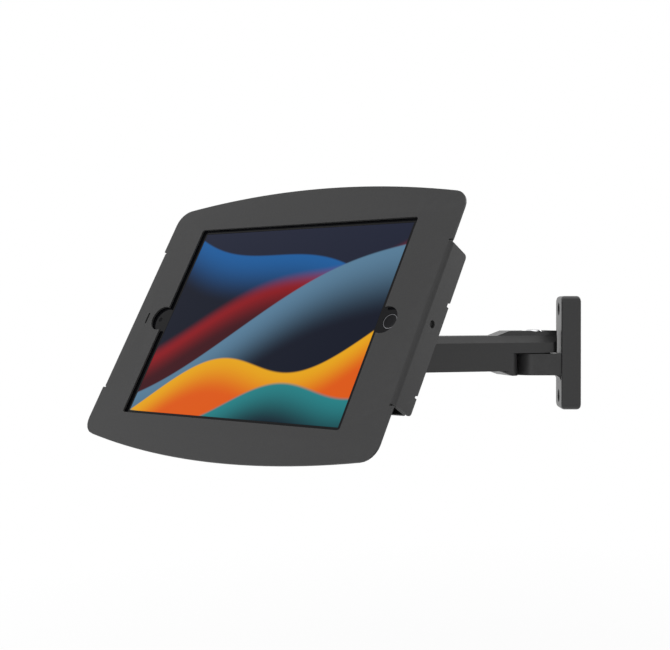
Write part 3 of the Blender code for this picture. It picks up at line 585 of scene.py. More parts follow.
class Groups:
    """The node groups that more than one finish uses."""

    speck_span: Span = (0.35, 0.65)
    speck_share: float = 0.98
    edge_span: Span = (0.57, 0.68)
    chip_size: float = 160.0
    chip_window: tuple[float, float, float, float] = (0.4, 0.62, 0.25, 1.0)
    cloud_span: Span = (0.45, 0.7)

    def __init__(self) -> None:
        """Builds every group once."""
        self.grain = self.build_grain()
        self.wear = self.build_wear()
        self.marks = self.build_marks()
        self.ribbon = self.build_ribbon()

    @staticmethod
    def start(name: str, inputs: dict[str, str], outputs: dict[str, str]) -> tuple[Tree, dict, dict]:
        """Makes an empty group with named sockets.

        Args:
            name: The group's name.
            inputs: The names of the inputs of each kind, with spaces between them.
            outputs: Those of the outputs.

        Returns:
            The tree, its inputs by name and its outputs by name.
        """
        group = bpy.data.node_groups.new(name, "ShaderNodeTree")
        for side, kinds in (("INPUT", inputs), ("OUTPUT", outputs)):
            for kind, labels in kinds.items():
                for label in labels.split():
                    group.interface.new_socket(name=label, in_out=side, socket_type="NodeSocket" + kind)
        entry = group.nodes.new("NodeGroupInput")
        leave = group.nodes.new("NodeGroupOutput")
        into = {socket.name: socket for socket in entry.outputs if socket.name}
        return Tree(group), into, {socket.name: socket for socket in leave.inputs if socket.name}

    def build_grain(self) -> NodeTree:
        """Builds the speckle and relief of a sprayed or cast surface.

        Returns:
            The group.
        """
        inputs = {"Vector": "Place", "Float": "Grain Patches", "Color": "Dark Light"}
        tree, into, out = self.start("fine_grain", inputs, {"Color": "Colour", "Float": "Height Patch"})
        fine = tree.noise(into["Place"], into["Grain"], detail=2.0)
        broad = tree.noise(into["Place"], into["Patches"], detail=3.0)
        speck = tree.window(fine, *self.speck_span)
        spread = tree.maths("MULTIPLY", broad, 1 - self.speck_share)
        share = tree.maths("MULTIPLY_ADD", speck, self.speck_share, spread)
        tree.link(tree.blend(share, into["Dark"], into["Light"]), out["Colour"])
        tree.link(speck, out["Height"])
        tree.link(broad, out["Patch"])
        return tree.tree

    def build_wear(self) -> NodeTree:
        """Builds the slight polish of edges that hands and tools touch.

        Returns:
            The group.
        """
        inputs = {"Vector": "Place", "Color": "Colour Bare", "Float": "Amount"}
        tree, into, out = self.start("edge_wear", inputs, {"Color": "Colour"})
        point = tree.add("NewGeometry").outputs["Pointiness"]
        edge = tree.window(point, *self.edge_span)
        broken = tree.window(tree.noise(into["Place"], self.chip_size, detail=4.0), *self.chip_window)
        mask = tree.maths("MULTIPLY", tree.maths("MULTIPLY", edge, broken), into["Amount"])
        tree.link(tree.blend(mask, into["Colour"], into["Bare"]), out["Colour"])
        return tree.tree

    def build_marks(self) -> NodeTree:
        """Builds the faint dust and finger marks that change a surface's gloss.

        Returns:
            The group.
        """
        tree, into, out = self.start("light_marks", {"Vector": "Place", "Float": "Size Low High"},
                                     {"Float": "Roughness Mask"})
        cloud = tree.noise(into["Place"], into["Size"], detail=5.0)
        mask = tree.window(cloud, *self.cloud_span)
        span = tree.maths("SUBTRACT", into["High"], into["Low"])
        tree.link(tree.maths("MULTIPLY_ADD", mask, span, into["Low"]), out["Roughness"])
        tree.link(mask, out["Mask"])
        return tree.tree

    def build_ribbon(self) -> NodeTree:
        """Builds one soft wavy band of the picture on the screen.

        Returns:
            The group.
        """
        inputs = {"Color": "Under Edge Body", "Float": "Along Across Level Slope Wave Length Shift Soft Fade"}
        tree, into, out = self.start("picture_band", inputs, {"Color": "Colour"})
        phase = tree.maths("MULTIPLY_ADD", into["Along"], into["Length"], into["Shift"])
        wave = tree.maths("MULTIPLY", tree.maths("SINE", phase), into["Wave"])
        straight = tree.maths("MULTIPLY_ADD", into["Along"], into["Slope"], into["Level"])
        below = tree.maths("SUBTRACT", tree.maths("ADD", straight, wave), into["Across"])
        ramps = []
        for reach in ("Soft", "Fade"):
            ramp = tree.add("MapRange", clamp=True, interpolation_type="SMOOTHSTEP")
            tree.link(below, ramp.inputs["Value"])
            tree.link(into[reach], ramp.inputs["From Max"])
            ramps.append(ramp.outputs["Result"])
        inner = tree.blend(ramps[1], into["Edge"], into["Body"])
        tree.link(tree.blend(ramps[0], into["Under"], inner), out["Colour"])
        return tree.tree


class Surface:
    """A material with its Principled shader and its coordinates."""

    def __init__(self, name: str) -> None:
        """Makes the material.

        Args:
            name: Its name.
        """
        self.material = bpy.data.materials.new(name)
        self.material.use_nodes = True
        self.tree = Tree(self.material.node_tree)
        self.shader = self.material.node_tree.nodes["Principled BSDF"]
        self.output = self.material.node_tree.nodes["Material Output"]
        self.place = self.tree.add("TexCoord").outputs["Object"]

    def group(self, group: NodeTree, **values: object) -> dict[str, NodeSocket]:
        """Places a group, with the coordinates where it asks for them.

        Args:
            group: The group.
            **values: A value or a socket for each other input.

        Returns:
            Its outputs by name.
        """
        node = self.tree.tree.nodes.new("ShaderNodeGroup")
        node.node_tree = group
        if "Place" in node.inputs:
            values["Place"] = self.place
        for key, value in values.items():
            self.tree.feed(node.inputs[key], value)
        return {socket.name: socket for socket in node.outputs}

    def grained(self, group: NodeTree, finish: BlackCoat | BareMetal | SoftBlack) -> dict[str, NodeSocket]:
        """Places the grain group for a finish and feeds its relief to the shader.

        Args:
            group: The grain group.
            finish: The finish.

        Returns:
            The group's outputs by name.
        """
        dark, light = (rgba(finish.colour, share) for share in finish.shades)
        grain = self.group(group, Grain=finish.grain, Patches=finish.patches, Dark=dark, Light=light)
        bump = self.tree.add("Bump")
        bump.inputs["Distance"].default_value = finish.depth
        bump.inputs["Strength"].default_value = finish.strength
        self.tree.link(grain["Height"], bump.inputs["Height"])
        self.tree.link(bump.outputs["Normal"], self.shader.inputs["Normal"])
        return grain

    def wire(self, **values: object) -> None:
        """Feeds the shader's inputs, each with low lines for the spaces in its name."""
        for key, value in values.items():
            self.tree.feed(self.shader.inputs[key.replace("_", " ")], value)


def rgba(colour: Colour, share: float = 1.0) -> tuple[float, float, float, float]:
    """Gives a colour with its alpha, brighter or darker by a share."""
    return (colour[0] * share, colour[1] * share, colour[2] * share, 1.0)


@dataclass(frozen=True)
class BlackCoat:
    """Black coating sprayed on metal: a fine speckle, satin gloss and slightly polished edges."""

    name: str
    colour: Colour
    roughness: float
    shine: float
    grain: float
    depth: float
    wear: float
    bare: Colour = (0.13, 0.13, 0.132)
    shades: Span = (0.9, 1.1)
    patches: float = 22.0
    patch_span: Span = (0.3, 0.7)
    uneven: float = 0.003
    strength: float = 0.15

    def build(self, groups: Groups) -> Material:
        """Builds the material.

        Args:
            groups: The shared node groups.

        Returns:
            The material.
        """
        made = Surface(self.name)
        grain = made.grained(groups.grain, self)
        worn = made.group(groups.wear, Colour=grain["Colour"], Bare=rgba(self.bare), Amount=self.wear)
        gloss = made.tree.window(grain["Patch"], *self.patch_span, self.roughness - self.uneven,
                                 self.roughness + self.uneven)
        made.wire(Base_Color=worn["Colour"], Roughness=gloss, Specular_IOR_Level=self.shine)
        return made.material


@dataclass(frozen=True)
class BareMetal:
    """Bright metal with a fine speckle and light marks."""

    name: str
    colour: Colour
    low: float
    high: float
    shades: Span = (0.86, 1.05)
    marks: float = 220.0
    grain: float = 2600.0
    patches: float = 120.0
    depth: float = 0.01 * MM
    strength: float = 0.15

    def build(self, groups: Groups) -> Material:
        """Builds the material.

        Args:
            groups: The shared node groups.

        Returns:
            The material.
        """
        made = Surface(self.name)
        marks = made.group(groups.marks, Size=self.marks, Low=self.low, High=self.high)
        grain = made.grained(groups.grain, self)
        made.wire(Metallic=1.0, Base_Color=grain["Colour"], Roughness=marks["Roughness"])
        return made.material


@dataclass(frozen=True)
class Glass:
    """Black printed glass, polished, with faint finger marks."""

    name: str
    colour: Colour
    low: float
    high: float
    shine: float
    marks: float = 38.0
    dust: float = 1.5

    def build(self, groups: Groups) -> Material:
        """Builds the material.

        Args:
            groups: The shared node groups.

        Returns:
            The material.
        """
        made = Surface(self.name)
        marks = made.group(groups.marks, Size=self.marks, Low=self.low, High=self.high)
        tint = made.tree.blend(marks["Mask"], rgba(self.colour), rgba(self.colour, self.dust))
        made.wire(Base_Color=tint, Roughness=marks["Roughness"], Specular_IOR_Level=self.shine)
        return made.material


@dataclass(frozen=True)
class SoftBlack:
    """Matt black plastic or foam with an open grain."""

    name: str
    colour: Colour
    roughness: float
    grain: float
    shades: Span = (0.6, 1.5)
    patches: float = 60.0
    depth: float = 0.1 * MM
    strength: float = 0.6

    def build(self, groups: Groups) -> Material:
        """Builds the material.

        Args:
            groups: The shared node groups.

        Returns:
            The material.
        """
        made = Surface(self.name)
        grain = made.grained(groups.grain, self)
        made.wire(Base_Color=grain["Colour"], Roughness=self.roughness)
        return made.material


@dataclass(frozen=True)
class Band:
    """One wavy band of the screen's picture, in half widths of the screen."""

    level: float
    slope: float
    wave: float
    length: float
    shift: float
    soft: float
    fade: float
    edge: Colour
    body: Colour


@dataclass(frozen=True)
class ScreenPicture:
    """A lit screen with a picture of soft coloured bands."""

    name: str
    sky: Colour
    ground: Colour
    bands: tuple[Band, ...]
    half_width: float
    brightness: float
    shine: float
    cover: Colour = (0.003, 0.003, 0.004)
    sky_span: Span = (-0.8, 0.8)
    marks: float = 30.0
    low: float = 0.06
    high: float = 0.14

    def build(self, groups: Groups, place: Matrix) -> Material:
        """Builds the material.

        Args:
            groups: The shared node groups.
            place: The matrix from the window's frame to the part's.

        Returns:
            The material.
        """
        made = Surface(self.name)
        square = made.tree.add("Mapping", vector_type="TEXTURE")
        square.inputs["Location"].default_value = place.to_translation()
        square.inputs["Rotation"].default_value = place.to_euler("XYZ")
        square.inputs["Scale"].default_value = (self.half_width,) * 3
        made.tree.link(made.place, square.inputs["Vector"])
        split = made.tree.add("SeparateXYZ")
        made.tree.link(square.outputs["Vector"], split.inputs["Vector"])
        along, across = split.outputs["X"], split.outputs["Z"]
        colour = made.tree.blend(made.tree.window(across, *self.sky_span), rgba(self.ground), rgba(self.sky))
        for band in self.bands:
            layer = made.group(groups.ribbon, Under=colour, Along=along, Across=across, Level=band.level,
                               Slope=band.slope, Wave=band.wave, Length=band.length, Shift=band.shift,
                               Soft=band.soft, Fade=band.fade, Edge=rgba(band.edge), Body=rgba(band.body))
            colour = layer["Colour"]
        marks = made.group(groups.marks, Size=self.marks, Low=self.low, High=self.high)
        made.wire(Base_Color=rgba(self.cover), Roughness=marks["Roughness"], Specular_IOR_Level=self.shine,
                  Emission_Color=colour, Emission_Strength=self.brightness)
        return made.material


NAVY = (0.012, 0.016, 0.038)
NIGHT = (0.003, 0.006, 0.018)
DEEP_BLUE = (0.008, 0.115, 0.36)
SLATE_BLUE = (0.105, 0.225, 0.345)
TEAL = (0.018, 0.24, 0.26)
RED = (0.40, 0.006, 0.010)
DARK_RED = (0.05, 0.002, 0.006)
ORANGE = (0.80, 0.11, 0.003)
YELLOW = (0.88, 0.42, 0.006)
BANDS = (
    Band(0.50, -0.30, 0.12, 2.6, 0.4, 0.02, 0.42, DEEP_BLUE, NIGHT),
    Band(0.30, 0.42, 0.10, 3.1, 2.2, 0.16, 0.36, RED, DARK_RED),
    Band(0.05, 0.52, 0.13, 2.4, 0.6, 0.02, 0.55, SLATE_BLUE, NIGHT),
    Band(-0.36, 0.30, 0.16, 3.4, 2.9, 0.02, 0.30, YELLOW, ORANGE),
    Band(-0.62, 0.18, 0.10, 4.2, 0.3, 0.03, 0.34, TEAL, NIGHT),
)


class Finishes:
    """Every look of the product, built once."""

    def __init__(self, groups: Groups, window: Matrix) -> None:
        """Builds the materials.

        Args:
            groups: The shared node groups.
            window: The matrix from the window's frame to the part's.
        """
        def look(finish: BlackCoat | BareMetal | Glass | SoftBlack, slot: Slot) -> Look:
            """Builds a finish for its slot."""
            return Look(finish.build(groups), slot)

        self.cast = look(BlackCoat("cast_black", (0.024, 0.024, 0.0245), roughness=0.36, shine=0.42,
                                   grain=1700.0, depth=0.015 * MM, wear=0.06), Slot.CAST)
        self.coat = look(BlackCoat("sheet_black", (0.030, 0.030, 0.0305), roughness=0.52, shine=0.34,
                                   grain=1500.0, depth=0.02 * MM, wear=0.04), Slot.COAT)
        self.black_steel = look(BlackCoat("black_steel", (0.020, 0.020, 0.021), roughness=0.36, shine=0.5,
                                          grain=2600.0, depth=0.01 * MM, wear=0.1), Slot.BLACK_STEEL)
        self.steel = look(BareMetal("bright_steel", (0.66, 0.66, 0.67), 0.2, 0.34), Slot.STEEL)
        self.chrome = look(BareMetal("polished_chrome", (0.8, 0.8, 0.81), 0.07, 0.16), Slot.CHROME)
        self.screw = Look(self.chrome.material, Slot.STEEL)
        self.aluminium = look(BareMetal("grey_anodised", (0.05, 0.052, 0.055), 0.34, 0.46), Slot.ALUMINIUM)
        self.ring = BareMetal("ring_steel", (0.16, 0.16, 0.17), 0.3, 0.42).build(groups)
        self.glass = look(Glass("black_glass", (0.004, 0.004, 0.005), 0.05, 0.1, 0.1), Slot.GLASS)
        self.lens = look(Glass("lens_glass", (0.0015, 0.0015, 0.003), 0.03, 0.06, 0.05), Slot.GLASS)
        self.washer = look(SoftBlack("black_polymer", (0.02, 0.02, 0.02), 0.62, 1500.0), Slot.WASHER)
        self.foam = look(SoftBlack("black_foam", (0.018, 0.018, 0.018), 0.95, 900.0), Slot.FOAM)
        screen = ScreenPicture("lit_screen", NAVY, NIGHT, BANDS, 103.7 * MM, brightness=0.88, shine=0.06)
        self.display = Look(screen.build(groups, window), Slot.DISPLAY)


class Maker:
    """What every sub-assembly shares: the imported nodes, the finishes and its place."""

    def __init__(self, nodes: dict[str, Object], finish: Finishes, place: Matrix) -> None:
        """Keeps what a sub-assembly needs.

        Args:
            nodes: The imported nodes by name.
            finish: The product's looks.
            place: The matrix from the sub-assembly's frame to the part's.
        """
        self.nodes = nodes
        self.finish = finish
        self.place = place

    def refined(self, node: str, name: str, look: Look, body: Body, width: float,
                segments: int = 3) -> Object:
        """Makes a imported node's finer surface, with its edges rounded by a width in some steps."""
        return Shape.copied(name, self.nodes[node]).edges(width, segments).smooth().dress(look, body, node)


@dataclass(frozen=True)
class SocketBolt:
    """A low round-headed bolt with a hexagon socket, which stands along its frame's z axis."""

    radius: float
    seat: float
    crown: float
    foot: float
    shank: float
    socket: float
    round_share: float = 0.55
    socket_share: float = 1.15

    def model(self, name: str) -> Shape:
        """Models the bolt.

        Args:
            name: Its name.

        Returns:
            The shape.
        """
        shape = Shape.cylinder(name, self.radius, self.seat, self.crown, 64)
        high = (self.crown - self.seat) * self.round_share
        shape.pick(upward).bevel(high, 6)
        shape.pick(downward).inset(self.radius - self.shank).extrude((0, 0, self.foot - self.seat)).done()
        floor = self.crown - high * self.socket_share
        tool = Shape.cylinder(name + "_socket", self.socket, floor, self.crown + OVERLAP, 6)
        return shape.combine(tool, Join.CUT).edges(FINE_EDGE, 2, SHARP_ANGLE).smooth()


@dataclass
class WallBracket:
    """The cast plate on the wall, its tongue and the first pivot's hardware."""

    maker: Maker
    edge: float = 0.4 * MM
    half_wide: float = 16.3 * MM
    half_high: float = 44.75 * MM
    thick: float = 15.4 * MM
    corner: float = 5.0 * MM
    side_rim: float = 1.15 * MM
    end_rim: float = 2.7 * MM
    fine: float = 0.16 * MM
    slack: float = 0.02 * MM
    nut_edge: float = 0.3 * MM
    bolt: SocketBolt = SocketBolt(radius=6.8 * MM, seat=13.3 * MM, crown=18.3 * MM, foot=-16.2 * MM,
                                  shank=4.0 * MM, socket=2.9 * MM)

    def build(self) -> None:
        """Builds the bracket and its pivot."""
        make = self.maker
        shape = Shape.copied("cast_wall_bracket", make.nodes["wall_bracket"])
        shape.moved(self.rounded).edges(self.edge).smooth()
        shape.dress(make.finish.cast, Body.WALL, "wall_bracket")
        self.pivot("base", Body.WALL, make.place)

    def rounded(self, point: Vector) -> Vector:
        """Widens the plate's fine rim to the round one of the photograph.

        Args:
            point: One of the piece's points.

        Returns:
            Where it goes.
        """
        half = Vector((self.half_wide - self.corner, self.half_high - self.corner))
        flat = Vector((point.x, point.z))
        core = Vector([max(-h, min(h, v)) for h, v in zip(half, flat)])
        inset = self.corner - (flat - core).length
        front = point.y < -self.thick / 2
        depth = point.y + self.thick if front else -point.y
        if not all(-self.slack < level < self.fine + self.slack for level in (inset, depth)):
            return point
        out = (flat - core).normalized()
        share = inset / self.fine
        flat = core + out * self.corner - Vector((out.x * self.side_rim, out.y * self.end_rim)) * share
        depth *= (self.side_rim * out.x ** 2 + self.end_rim * out.y ** 2) / self.fine
        return Vector((flat.x, depth - self.thick if front else -depth, flat.y))

    def pivot(self, prefix: str, body: Body, place: Matrix) -> None:
        """Builds the bolt, washer and nut of an upright pivot.

        Args:
            prefix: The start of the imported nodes' names.
            body: The body that they ride on.
            place: The matrix from the pivot's frame to the part's.
        """
        make = self.maker
        bolt = self.bolt.model(prefix + "_cap_bolt").set_in(place)
        bolt.dress(make.finish.steel, body, prefix + "_pivot_bolt")
        make.refined(prefix + "_friction_washer", prefix + "_slip_washer", make.finish.washer, body,
                     FINE_EDGE, 2)
        make.refined(prefix + "_lock_nut", prefix + "_locking_nut", make.finish.steel, body, self.nut_edge)


@dataclass
class SwingArm:
    """The cast bar and the elbow's hardware."""

    maker: Maker
    bracket: WallBracket
    elbow: Matrix
    edge: float = 0.45 * MM
    bar_half: float = 14.95 * MM
    bar_foot: float = -14.0 * MM
    pad_half: float = 14.85 * MM
    pad_foot: float = -17.7 * MM
    pad_end: float = -25.0 * MM
    ramp_end: float = -35.5 * MM
    heel_end: float = -16.9 * MM
    heel_far: float = -42.6 * MM
    heel_corner: float = 11.0 * MM
    near: float = 0.1 * MM

    def build(self) -> None:
        """Builds the arm and its elbow pivot."""
        make = self.maker
        shape = Shape.copied("cast_arm", make.nodes["arm"])
        for part in self.heel():
            shape.combine(part.set_in(make.place), Join.ADD)
        shape.cleaned().edges(self.edge).smooth()
        shape.dress(make.finish.cast, Body.ARM, "arm")
        self.bracket.pivot("elbow", Body.ARM, self.elbow)

    def heel(self) -> tuple[Shape, Shape]:
        """Models the heel of the bar, which closes up to the bracket's tongue and has round corners.

        Returns:
            The heel of the bar and that of the pad under it.
        """
        end, far = self.heel_end, self.heel_far
        bar = Shape.block("bar_heel", (-self.bar_half, far, self.bar_foot), (self.bar_half, end, OVERLAP))
        pad = Shape.block("pad_heel", (-self.pad_half, far, self.pad_foot),
                          (self.pad_half, end, self.bar_foot + OVERLAP))
        slope = (self.bar_foot - self.pad_foot) / (self.ramp_end - self.pad_end)
        pad.sliced((0, self.pad_end, self.pad_foot), (0, slope, -1))
        pad.sliced((0, self.ramp_end, 0), (0, -1, 0))
        for part in (bar, pad):
            part.pick_edges(lambda middle, along: abs(along.z) > ALONG and abs(middle.y - end) < self.near)
            part.bevel(self.heel_corner, 10)
        return bar, pad


@dataclass
class SwivelHead:
    """The cast head with its fork, and the tilt bolt."""

    maker: Maker
    edge: float = 0.4 * MM
    bolt_edge: float = 0.25 * MM

    def build(self) -> None:
        """Builds the head and the tilt joint's hardware."""
        make = self.maker
        make.refined("swivel_head", "cast_head", make.finish.cast, Body.HEAD, self.edge)
        for node, name in (("tilt_bolt", "tilt_cap_bolt"), ("tilt_nut", "tilt_hex_nut")):
            make.refined(node, name, make.finish.black_steel, Body.HEAD, self.bolt_edge, 2)


@dataclass
class MountingPlate:
    """The square plate with its ear, and the four screws that hold the tray."""

    maker: Maker
    edge: float = 0.35 * MM
    nut_edge: float = 0.2 * MM
    pitch: float = 50.0 * MM
    face: float = -24.6 * MM
    screw: SocketBolt = SocketBolt(radius=3.9 * MM, seat=-0.7 * MM, crown=1.7 * MM, foot=-12.7 * MM,
                                   shank=2.0 * MM, socket=1.45 * MM)

    def build(self) -> None:
        """Builds the plate and its fasteners."""
        make = self.maker
        make.refined("mounting_plate", "cast_plate", make.finish.cast, Body.CASE, self.edge, 2)
        places = [(x * self.pitch, z * self.pitch) for x in (-1, 1) for z in (-1, 1)]
        for number, (x, z) in enumerate(places, 1):
            screw = self.screw.model(f"button_screw_{number}")
            screw.set_in(make.place @ stand((x, self.face, z), -90, "X"))
            screw.dress(make.finish.screw, Body.CASE, f"mounting_screw_{number}")
            make.refined(f"mounting_nut_{number}", f"clinch_nut_{number}", make.finish.steel, Body.CASE,
                         self.nut_edge, 2)


@dataclass
class Enclosure:
    """The folded frame and tray that hold the tablet."""

    maker: Maker
    edge: float = 0.25 * MM
    pad_edge: float = 1.2 * MM

    def build(self) -> None:
        """Builds the sheets and the pads between the tray and the tablet."""
        make = self.maker
        for node, name in (("front_bezel", "folded_bezel"), ("rear_tray", "folded_tray")):
            make.refined(node, name, make.finish.coat, Body.CASE, self.edge, 2)
        for number in range(1, 5):
            pad = make.refined(f"foam_pad_{number}", f"foam_strip_{number}", make.finish.foam, Body.CASE,
                               self.pad_edge, 4)


@dataclass
class Tablet:
    """The tablet behind the window. A step is how far in and how far out the face goes."""

    maker: Maker
    face: float = 2.3 * MM
    back: float = 9.8 * MM
    shell_edge: float = 0.2 * MM
    glass_edge: float = 0.1 * MM
    screen_edge: float = 0.05 * MM
    button_u: float = 114.5 * MM
    button_r: float = 5.6 * MM
    button_thick: float = 1.6 * MM
    button_round: float = 0.25 * MM
    button_steps: Steps = ((0.35 * MM, 0.0), (1.4 * MM, -0.18 * MM), (1.6 * MM, -0.07 * MM))
    ring_wide: float = 0.62 * MM
    ring_facing: float = 0.6
    front_r: float = 1.6 * MM
    front_deep: float = 0.7 * MM
    rear_u: float = -113.8 * MM
    rear_v: float = 75.5 * MM
    rear_r: float = 3.4 * MM
    rear_deep: float = 1.9 * MM
    lens_round: float = 0.16
    lens_steps: Steps = ((0.22, -0.06), (0.2, 0.05))

    def build(self) -> None:
        """Builds the tablet's pieces."""
        make = self.maker
        make.refined("tablet_shell", "tablet_housing", make.finish.aluminium, Body.CASE, self.shell_edge, 2)
        make.refined("tablet_glass", "tablet_cover_glass", make.finish.glass, Body.CASE, self.glass_edge, 2)
        make.refined("tablet_display", "tablet_screen", make.finish.display, Body.CASE, self.screen_edge, 1)
        self.button()
        self.lens("front", self.front_r, self.front_deep, (-self.button_u, self.face, 0), 90)
        self.lens("rear", self.rear_r, self.rear_deep, (self.rear_u, self.back, self.rear_v), -90)

    def button(self) -> None:
        """Builds the round button, dished and with a fine bright ring."""
        make = self.maker
        shape = Shape.cylinder("round_button", self.button_r, -self.button_thick, 0, 72)
        shape.pick(upward).bevel(self.button_round)
        shape.stepped(self.button_steps).smooth(DOME_ANGLE)
        place = make.place @ stand((self.button_u, self.face, 0), 90, "X")
        piece = shape.set_in(place).dress(make.finish.glass, Body.BUTTON, "home_button")
        piece.data.materials.append(make.finish.ring)
        out = place.col[2].xyz.normalized()
        for face in piece.data.polygons:
            offset = face.center - place.translation
            inset = self.button_r - (offset - out * offset.dot(out)).length
            if 0 < inset < self.ring_wide and face.normal.dot(out) > self.ring_facing:
                face.material_index = 1

    def lens(self, side: str, radius: float, deep: float, spot: Point, turn: float) -> None:
        """Builds a camera's lens, a dome of glass in a ring.

        Args:
            side: Which camera it is.
            radius: Its radius.
            deep: How deep it sits in the tablet.
            spot: Its place in the window's frame.
            turn: The angle about x that turns it outwards.
        """
        shape = Shape.cylinder(side + "_lens", radius, -deep, 0)
        shape.pick(upward).bevel(radius * self.lens_round)
        shape.stepped(self.lens_steps, radius).smooth(DOME_ANGLE)
        shape.set_in(self.maker.place @ stand(spot, turn, "X"))
        shape.dress(self.maker.finish.lens, Body.CASE, side + "_camera_lens")


@dataclass
class CamLock:
    """The cylinder lock in the side flange."""

    maker: Maker
    spot: Point = (-143.6 * MM, 9.5 * MM, -2.1 * MM)
    head_r: float = 6.8 * MM
    head_high: float = 2.4 * MM
    head_round: float = 0.9 * MM
    body_r: float = 4.5 * MM
    long: float = 5.0 * MM
    gap: float = 0.3 * MM
    plug_r: float = 3.2 * MM
    plug_proud: float = 0.2 * MM
    plug_round: float = 0.4 * MM
    key_half_thick: float = 0.6 * MM
    key_half_wide: float = 2.3 * MM
    key_deep: float = 1.8 * MM
    key_edge: float = 0.1 * MM
    nut_edge: float = 0.2 * MM
    cam_edge: float = 0.25 * MM

    def build(self) -> None:
        """Builds the housing, the plug with its keyway, the nut and the cam."""
        make = self.maker
        place = make.place @ stand(self.spot, -90, "Y")
        self.barrel().set_in(place).dress(make.finish.chrome, Body.CASE, "lock_housing")
        self.plug().set_in(place).dress(make.finish.chrome, Body.LOCK, "lock_plug")
        make.refined("lock_nut", "lock_ring_nut", make.finish.steel, Body.CASE, self.nut_edge, 2)
        make.refined("lock_cam", "lock_tongue", make.finish.steel, Body.LOCK, self.cam_edge, 2)

    def barrel(self) -> Shape:
        """Models the barrel, with its head outside and its body through the flange.

        Returns:
            The shape.
        """
        ring = Shape.cylinder("lock_barrel", self.head_r, self.gap, self.head_high, 72)
        ring.pick(upward).bevel(self.head_round, 4)
        ring.pick(downward).inset(self.head_r - self.body_r).extrude((0, 0, -self.long - self.gap)).done()
        bore = Shape.cylinder("lock_bore", self.plug_r + self.gap, -2 * self.long, 2 * self.long, 64)
        return ring.combine(bore, Join.CUT).edges(FINE_EDGE, 2, SHARP_ANGLE).smooth()

    def plug(self) -> Shape:
        """Models the plug with its keyway.

        Returns:
            The shape.
        """
        top = self.head_high + self.plug_proud
        plug = Shape.cylinder("lock_key_plug", self.plug_r, -self.long - self.gap, top, 64)
        plug.pick(upward).bevel(self.plug_round)
        low = (-self.key_half_thick, -self.key_half_wide, self.head_high - self.key_deep)
        high = (self.key_half_thick, self.key_half_wide, self.head_high + OVERLAP)
        plug.combine(Shape.block("lock_keyway", low, high), Join.CUT)
        return plug.edges(self.key_edge, 2, SHARP_ANGLE).smooth()


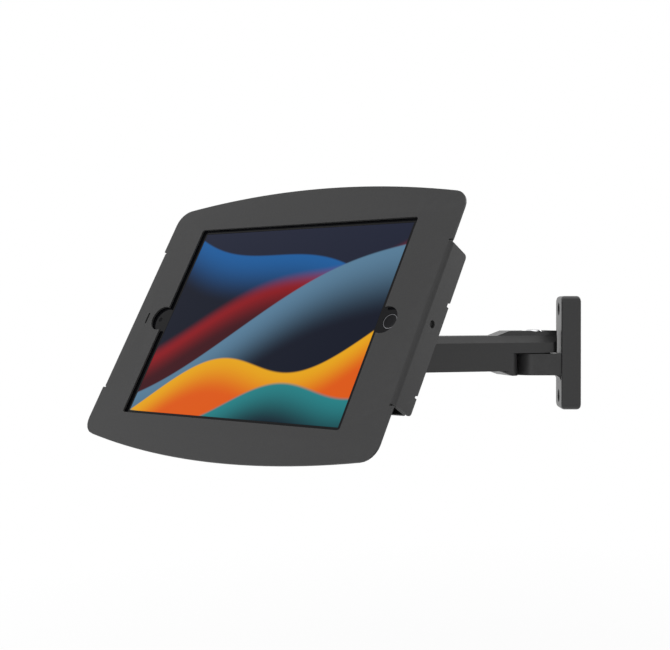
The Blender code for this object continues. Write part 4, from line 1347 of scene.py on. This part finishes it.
@dataclass
class Studio:
    """The pale floor, the soft light and the camera."""

    target: Point = (-0.08301, -0.19765, 0.02078)
    azimuth: float = 92.54
    elevation: float = 0.80
    roll: float = -0.10
    distance: float = 1.07155
    lens: float = 66.05
    floor_level: float = -0.30
    floor_side: float = 12.0
    floor_colour: Colour = (0.92, 0.92, 0.92)
    floor_roughness: float = 0.9
    floor_fade: tuple[float, float, float, float] = (0.0, 0.8, 0.86, 1.0)
    sky_light: float = 0.5
    lamp_aim: Point = (0.08, -0.2, 0.02)
    lamps: tuple[tuple[str, Point, float, float], ...] = (
        ("key_softbox", (2.3, -0.9, 0.5), 1.4, 7),
        ("left_softbox", (0.4, -2.5, 0.3), 1.0, 11),
        ("top_softbox", (-0.1, 0.1, 2.2), 1.6, 7),
        ("back_softbox", (-1.7, 1.5, 0.5), 1.5, 22),
    )

    def build(self) -> None:
        """Builds the whole studio."""
        self.floor()
        self.sky()
        self.camera()
        for name, place, side, power in self.lamps:
            self.lamp(name, place, side, power)

    def floor(self) -> None:
        """Builds a wide pale floor that fades to the white background."""
        Shape.clear()
        bpy.ops.mesh.primitive_plane_add(size=self.floor_side, location=(0, 0, self.floor_level))
        floor = bpy.context.object
        floor.name = "studio_floor"
        made = Surface("pale_floor")
        made.wire(Base_Color=rgba(self.floor_colour), Roughness=self.floor_roughness)
        glow = made.tree.add("Emission")
        length = made.tree.add("VectorMath", operation="LENGTH")
        made.tree.link(made.place, length.inputs[0])
        far = made.tree.window(length.outputs["Value"], *self.floor_fade)
        sight = made.tree.sight("Is Camera Ray", "Is Glossy Ray")
        mix = made.tree.add("MixShader")
        made.tree.link(made.tree.maths("MULTIPLY", far, sight), mix.inputs["Fac"])
        made.tree.link(made.shader.outputs["BSDF"], mix.inputs[1])
        made.tree.link(glow.outputs["Emission"], mix.inputs[2])
        made.tree.link(mix.outputs["Shader"], made.output.inputs["Surface"])
        floor.data.materials.append(made.material)

    def sky(self) -> None:
        """Lights everything softly, and shows white to the camera, to mirrors and through glass."""
        world = bpy.data.worlds.new("studio_white")
        world.use_nodes = True
        bpy.context.scene.world = world
        tree = Tree(world.node_tree)
        back = world.node_tree.nodes["Background"]
        sight = tree.sight("Is Camera Ray", "Is Transmission Ray", "Is Glossy Ray")
        strength = tree.maths("MULTIPLY_ADD", sight, 1 - self.sky_light, self.sky_light)
        tree.link(strength, back.inputs["Strength"])
        back.inputs["Color"].default_value = (1, 1, 1, 1)

    def lamp(self, name: str, place: Point, side: float, power: float) -> None:
        """Adds a square soft lamp that faces the product.

        Args:
            name: Its name.
            place: Where it stands.
            side: The side of its square.
            power: Its power in watts.
        """
        Shape.clear()
        bpy.ops.object.light_add(type="AREA", location=place)
        lamp = bpy.context.object
        lamp.name = name
        lamp.data.size = side
        lamp.data.energy = power
        aim = Vector(self.lamp_aim) - Vector(place)
        lamp.rotation_euler = aim.to_track_quat("-Z", "Y").to_euler()

    def camera(self) -> None:
        """Stands the camera where the photograph was taken from."""
        az, el, roll = (math.radians(a) for a in (self.azimuth, self.elevation, self.roll))
        back = Vector((math.sin(az) * math.cos(el), -math.cos(az) * math.cos(el), math.sin(el)))
        right = Vector((math.cos(az), math.sin(az), 0))
        up = back.cross(right)
        right, up = right * math.cos(roll) + up * math.sin(roll), up * math.cos(roll) - right * math.sin(roll)
        data = bpy.data.cameras.new("studio_camera")
        data.lens = self.lens
        camera = bpy.data.objects.new("studio_camera", data)
        bpy.context.scene.collection.objects.link(camera)
        turn = Matrix((right, up, back)).transposed().to_4x4()
        camera.matrix_world = Matrix.Translation(Vector(self.target) + back * self.distance) @ turn
        bpy.context.scene.camera = camera


def main() -> None:
    """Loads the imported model, dresses every sub-assembly and sets up the studio."""
    logging.basicConfig(level=logging.INFO, format="%(message)s")
    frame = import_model()
    joints = {joint["name"]: joint for joint in frame["joints"]}
    stance = Stance()
    window = stance.case(joints["tilt"])
    finish = Finishes(Groups(), window)

    def maker(place: Matrix) -> Maker:
        """Gives what a sub-assembly at a place needs."""
        return Maker(frame["nodes"], finish, place)

    bracket = WallBracket(maker(stance.pivot(joints["arm_swing"], 0)))
    elbow = stance.pivot(joints["head_swing"], stance.arm_angle)
    parts = [
        bracket,
        SwingArm(maker(stance.pivot(joints["arm_swing"], stance.arm_angle)), bracket, elbow),
        SwivelHead(maker(Matrix())),
        MountingPlate(maker(stance.tilt(joints["tilt"]))),
        Enclosure(maker(Matrix())),
        Tablet(maker(window)),
        CamLock(maker(window)),
        Studio(),
    ]
    for part in parts:
        LOG.info("building %s", type(part).__name__)
        part.build()
    bpy.context.scene.view_settings.view_transform = "Standard"


if __name__ == "__main__":
    main()
